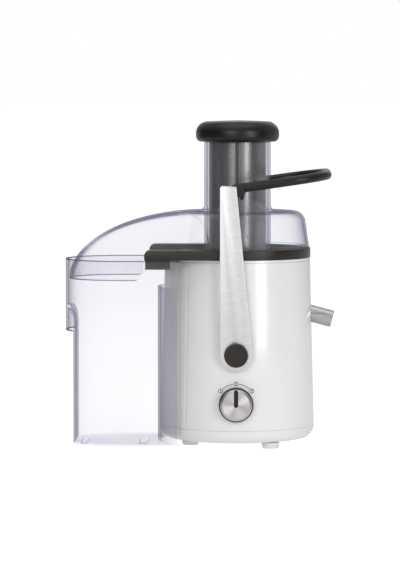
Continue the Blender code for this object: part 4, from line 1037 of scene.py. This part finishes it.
def make_dial():
    FINISHES["ink"] = moulded("grey_print", (0.05, 0.047, 0.047), (0.07, 0.066, 0.066), 0.5, 0.05)
    dial_r, mark_r, line = 0.0246, 0.0027, 0.00032
    swing = 49
    marks = [(math.radians(90 + swing), "1"), (math.radians(90), "0"), (math.radians(90 - swing), "2")]
    gap = math.degrees(mark_r / dial_r) + 1.0
    parts = []
    for start, end in ((90 + swing - gap, 90 + gap), (90 - gap, 90 - swing + gap)):
        outline = arc((0, KNOB.z), dial_r + line, start, end, 20)
        outline += arc((0, KNOB.z), dial_r - line, end, start, 20)
        parts.append(slab("dial_arc", outline, 0, 0.0001, upright=True))
    for angle, digit in marks:
        x = dial_r * math.cos(angle)
        z = KNOB.z + dial_r * math.sin(angle)
        outline = arc((x, z), mark_r, 0, 360, 32)[:-1]
        ring = slab("dial_ring", outline, 0, 0.0001, upright=True)
        inner = slab("inner", arc((x, z), mark_r - 2 * line, 0, 360, 32)[:-1], -0.001, 0.001, upright=True)
        worked(ring, "DIFFERENCE", inner)
        parts.append(ring)
        deselect()
        bpy.ops.object.text_add(location=(AXIS.x + x, 0, z), rotation=(math.pi / 2, 0, 0))
        number = bpy.context.object
        number.data.body = digit
        number.data.size = 0.0046
        number.data.align_x = "CENTER"
        number.data.align_y = "CENTER"
        number.data.extrude = 0.00005
        bpy.ops.object.convert(target="MESH")
        bpy.ops.object.transform_apply(location=True, rotation=True, scale=True)
        parts.append(bpy.context.object)
    deselect()
    for part in parts:
        part.select_set(True)
    bpy.context.view_layer.objects.active = parts[0]
    bpy.ops.object.join()
    dial = bpy.context.object
    dial.name = "dial_marks"
    laid_on_body(dial, 0.00012)
    edit(dial)
    tidy_mesh(dial)
    finished(dial, "ink", "base", "white_housing")


# ---------------------------------------------------------------- pulp container

VESSEL_TOP = 0.2237
VESSEL_FLOOR = 0.0025
VESSEL_WALL = 0.0022
VESSEL_END_R = 0.067
VESSEL_REACH = 0.2075
VESSEL_CORNER = 0.008
HUG_R = BODY_LOW_R + 0.0014
GRIP_WALL = -VESSEL_REACH + 0.0109
GRIP_LIP = 0.137
GRIP_TOP = 0.166
MOUTH_Z = 0.190
GRIP_CURVE = (0.0085, 0.0195)
CLEAR_OF_IT = 0.02


def vessel_plan(inset, steps=48):
    outer = VESSEL_END_R - inset
    hug = HUG_R + inset
    side = math.degrees(math.asin(outer / hug))
    plan = arc((-VESSEL_REACH + VESSEL_END_R, 0), outer, 90, 270, steps)
    return plan + arc((0, 0), hug, 180 + side, 180 - side, 32)


def vessel_solid(name, inset, top):
    """The vessel's full form, stepped in under the grip and rounded at the floor."""
    low = VESSEL_FLOOR + inset
    solid = slab(name, vessel_plan(inset), low, top)
    outer = -VESSEL_REACH - CLEAR_OF_IT
    wall = GRIP_WALL + inset
    if inset:
        across, rise = GRIP_CURVE
        curve = arc((wall - across, GRIP_TOP - rise), (across, rise + inset), 0, 90, 8)
        step = [(wall, low - 0.02)] + curve + [(outer, GRIP_TOP + inset), (outer, low - 0.02)]
    else:
        step = [(wall, low - 0.02), (wall, GRIP_LIP), (outer, GRIP_LIP), (outer, low - 0.02)]
    worked(solid, "DIFFERENCE", slab("step", step, -0.09, 0.09, upright=True))
    edit(solid)
    pick(solid, lambda co: co.z < low + 0.00001, "EDGE")
    bpy.ops.mesh.bevel(offset=VESSEL_CORNER - inset, segments=6, affect="EDGES", clamp_overlap=True)
    return tidy_mesh(solid)


def make_vessel():
    vessel = vessel_solid("vessel", 0, VESSEL_TOP)
    worked(vessel, "DIFFERENCE", vessel_solid("vessel_inside", VESSEL_WALL, VESSEL_TOP + 0.01))
    outer = -VESSEL_REACH - CLEAR_OF_IT
    across, rise = GRIP_CURVE
    curve = arc((GRIP_WALL - across, GRIP_TOP - rise - 0.001), (across, rise - VESSEL_WALL), 0, 90, 8)
    pocket = [(GRIP_WALL, GRIP_LIP - 0.01)] + curve + [(outer, curve[-1][1]), (outer, GRIP_LIP - 0.01)]
    hollow = slab("pocket", pocket, -0.09, 0.09, upright=True)
    worked(hollow, "INTERSECT", slab("pocket_plan", vessel_plan(VESSEL_WALL), 0.05, 0.2))
    worked(vessel, "DIFFERENCE", hollow)
    half = VESSEL_END_R - 0.004
    low = AXIS + Vector((-TAIL_REACH - 0.003, -half, MOUTH_Z))
    worked(vessel, "DIFFERENCE", box_piece("mouth", low, AXIS + Vector((0, half, 0.25))))
    rounded(vessel, 0.0007, 3, 50)
    for low_x, high_x in ((-0.188, -0.181), (-0.118, -0.108)):
        foot = box_piece("rib_foot", AXIS + Vector((low_x, -0.03, 0.0006)), AXIS + Vector((high_x, 0.03, 0.0032)))
        worked(vessel, "UNION", rounded(foot, 0.0006, 2))
    finished(vessel, "vessel", "container", "clear_plastic", "pulp_container", angle=30)
    rim, lip = VESSEL_TOP - 0.0013, GRIP_LIP + 0.0013
    scored(vessel, rim, lip)
    faced(vessel, "flat", lambda place, facing: place.z < VESSEL_FLOOR + VESSEL_CORNER and abs(facing.z) > 0.8)
    # painted shade: the top rim band and the grip lip band take the darker rim tint as a painted dark edge line
    faced(vessel, "rim", lambda place, facing: place.z > rim)
    faced(vessel, "rim", lambda place, facing: place.x < GRIP_WALL and GRIP_LIP - 0.001 < place.z < lip)


finish_cad_nodes()
make_camera()
make_studio()
make_housing()
make_collar()
make_spout()
make_lid()
make_pusher()
make_arms()
make_handle()
make_knob()
make_dial()
make_vessel()
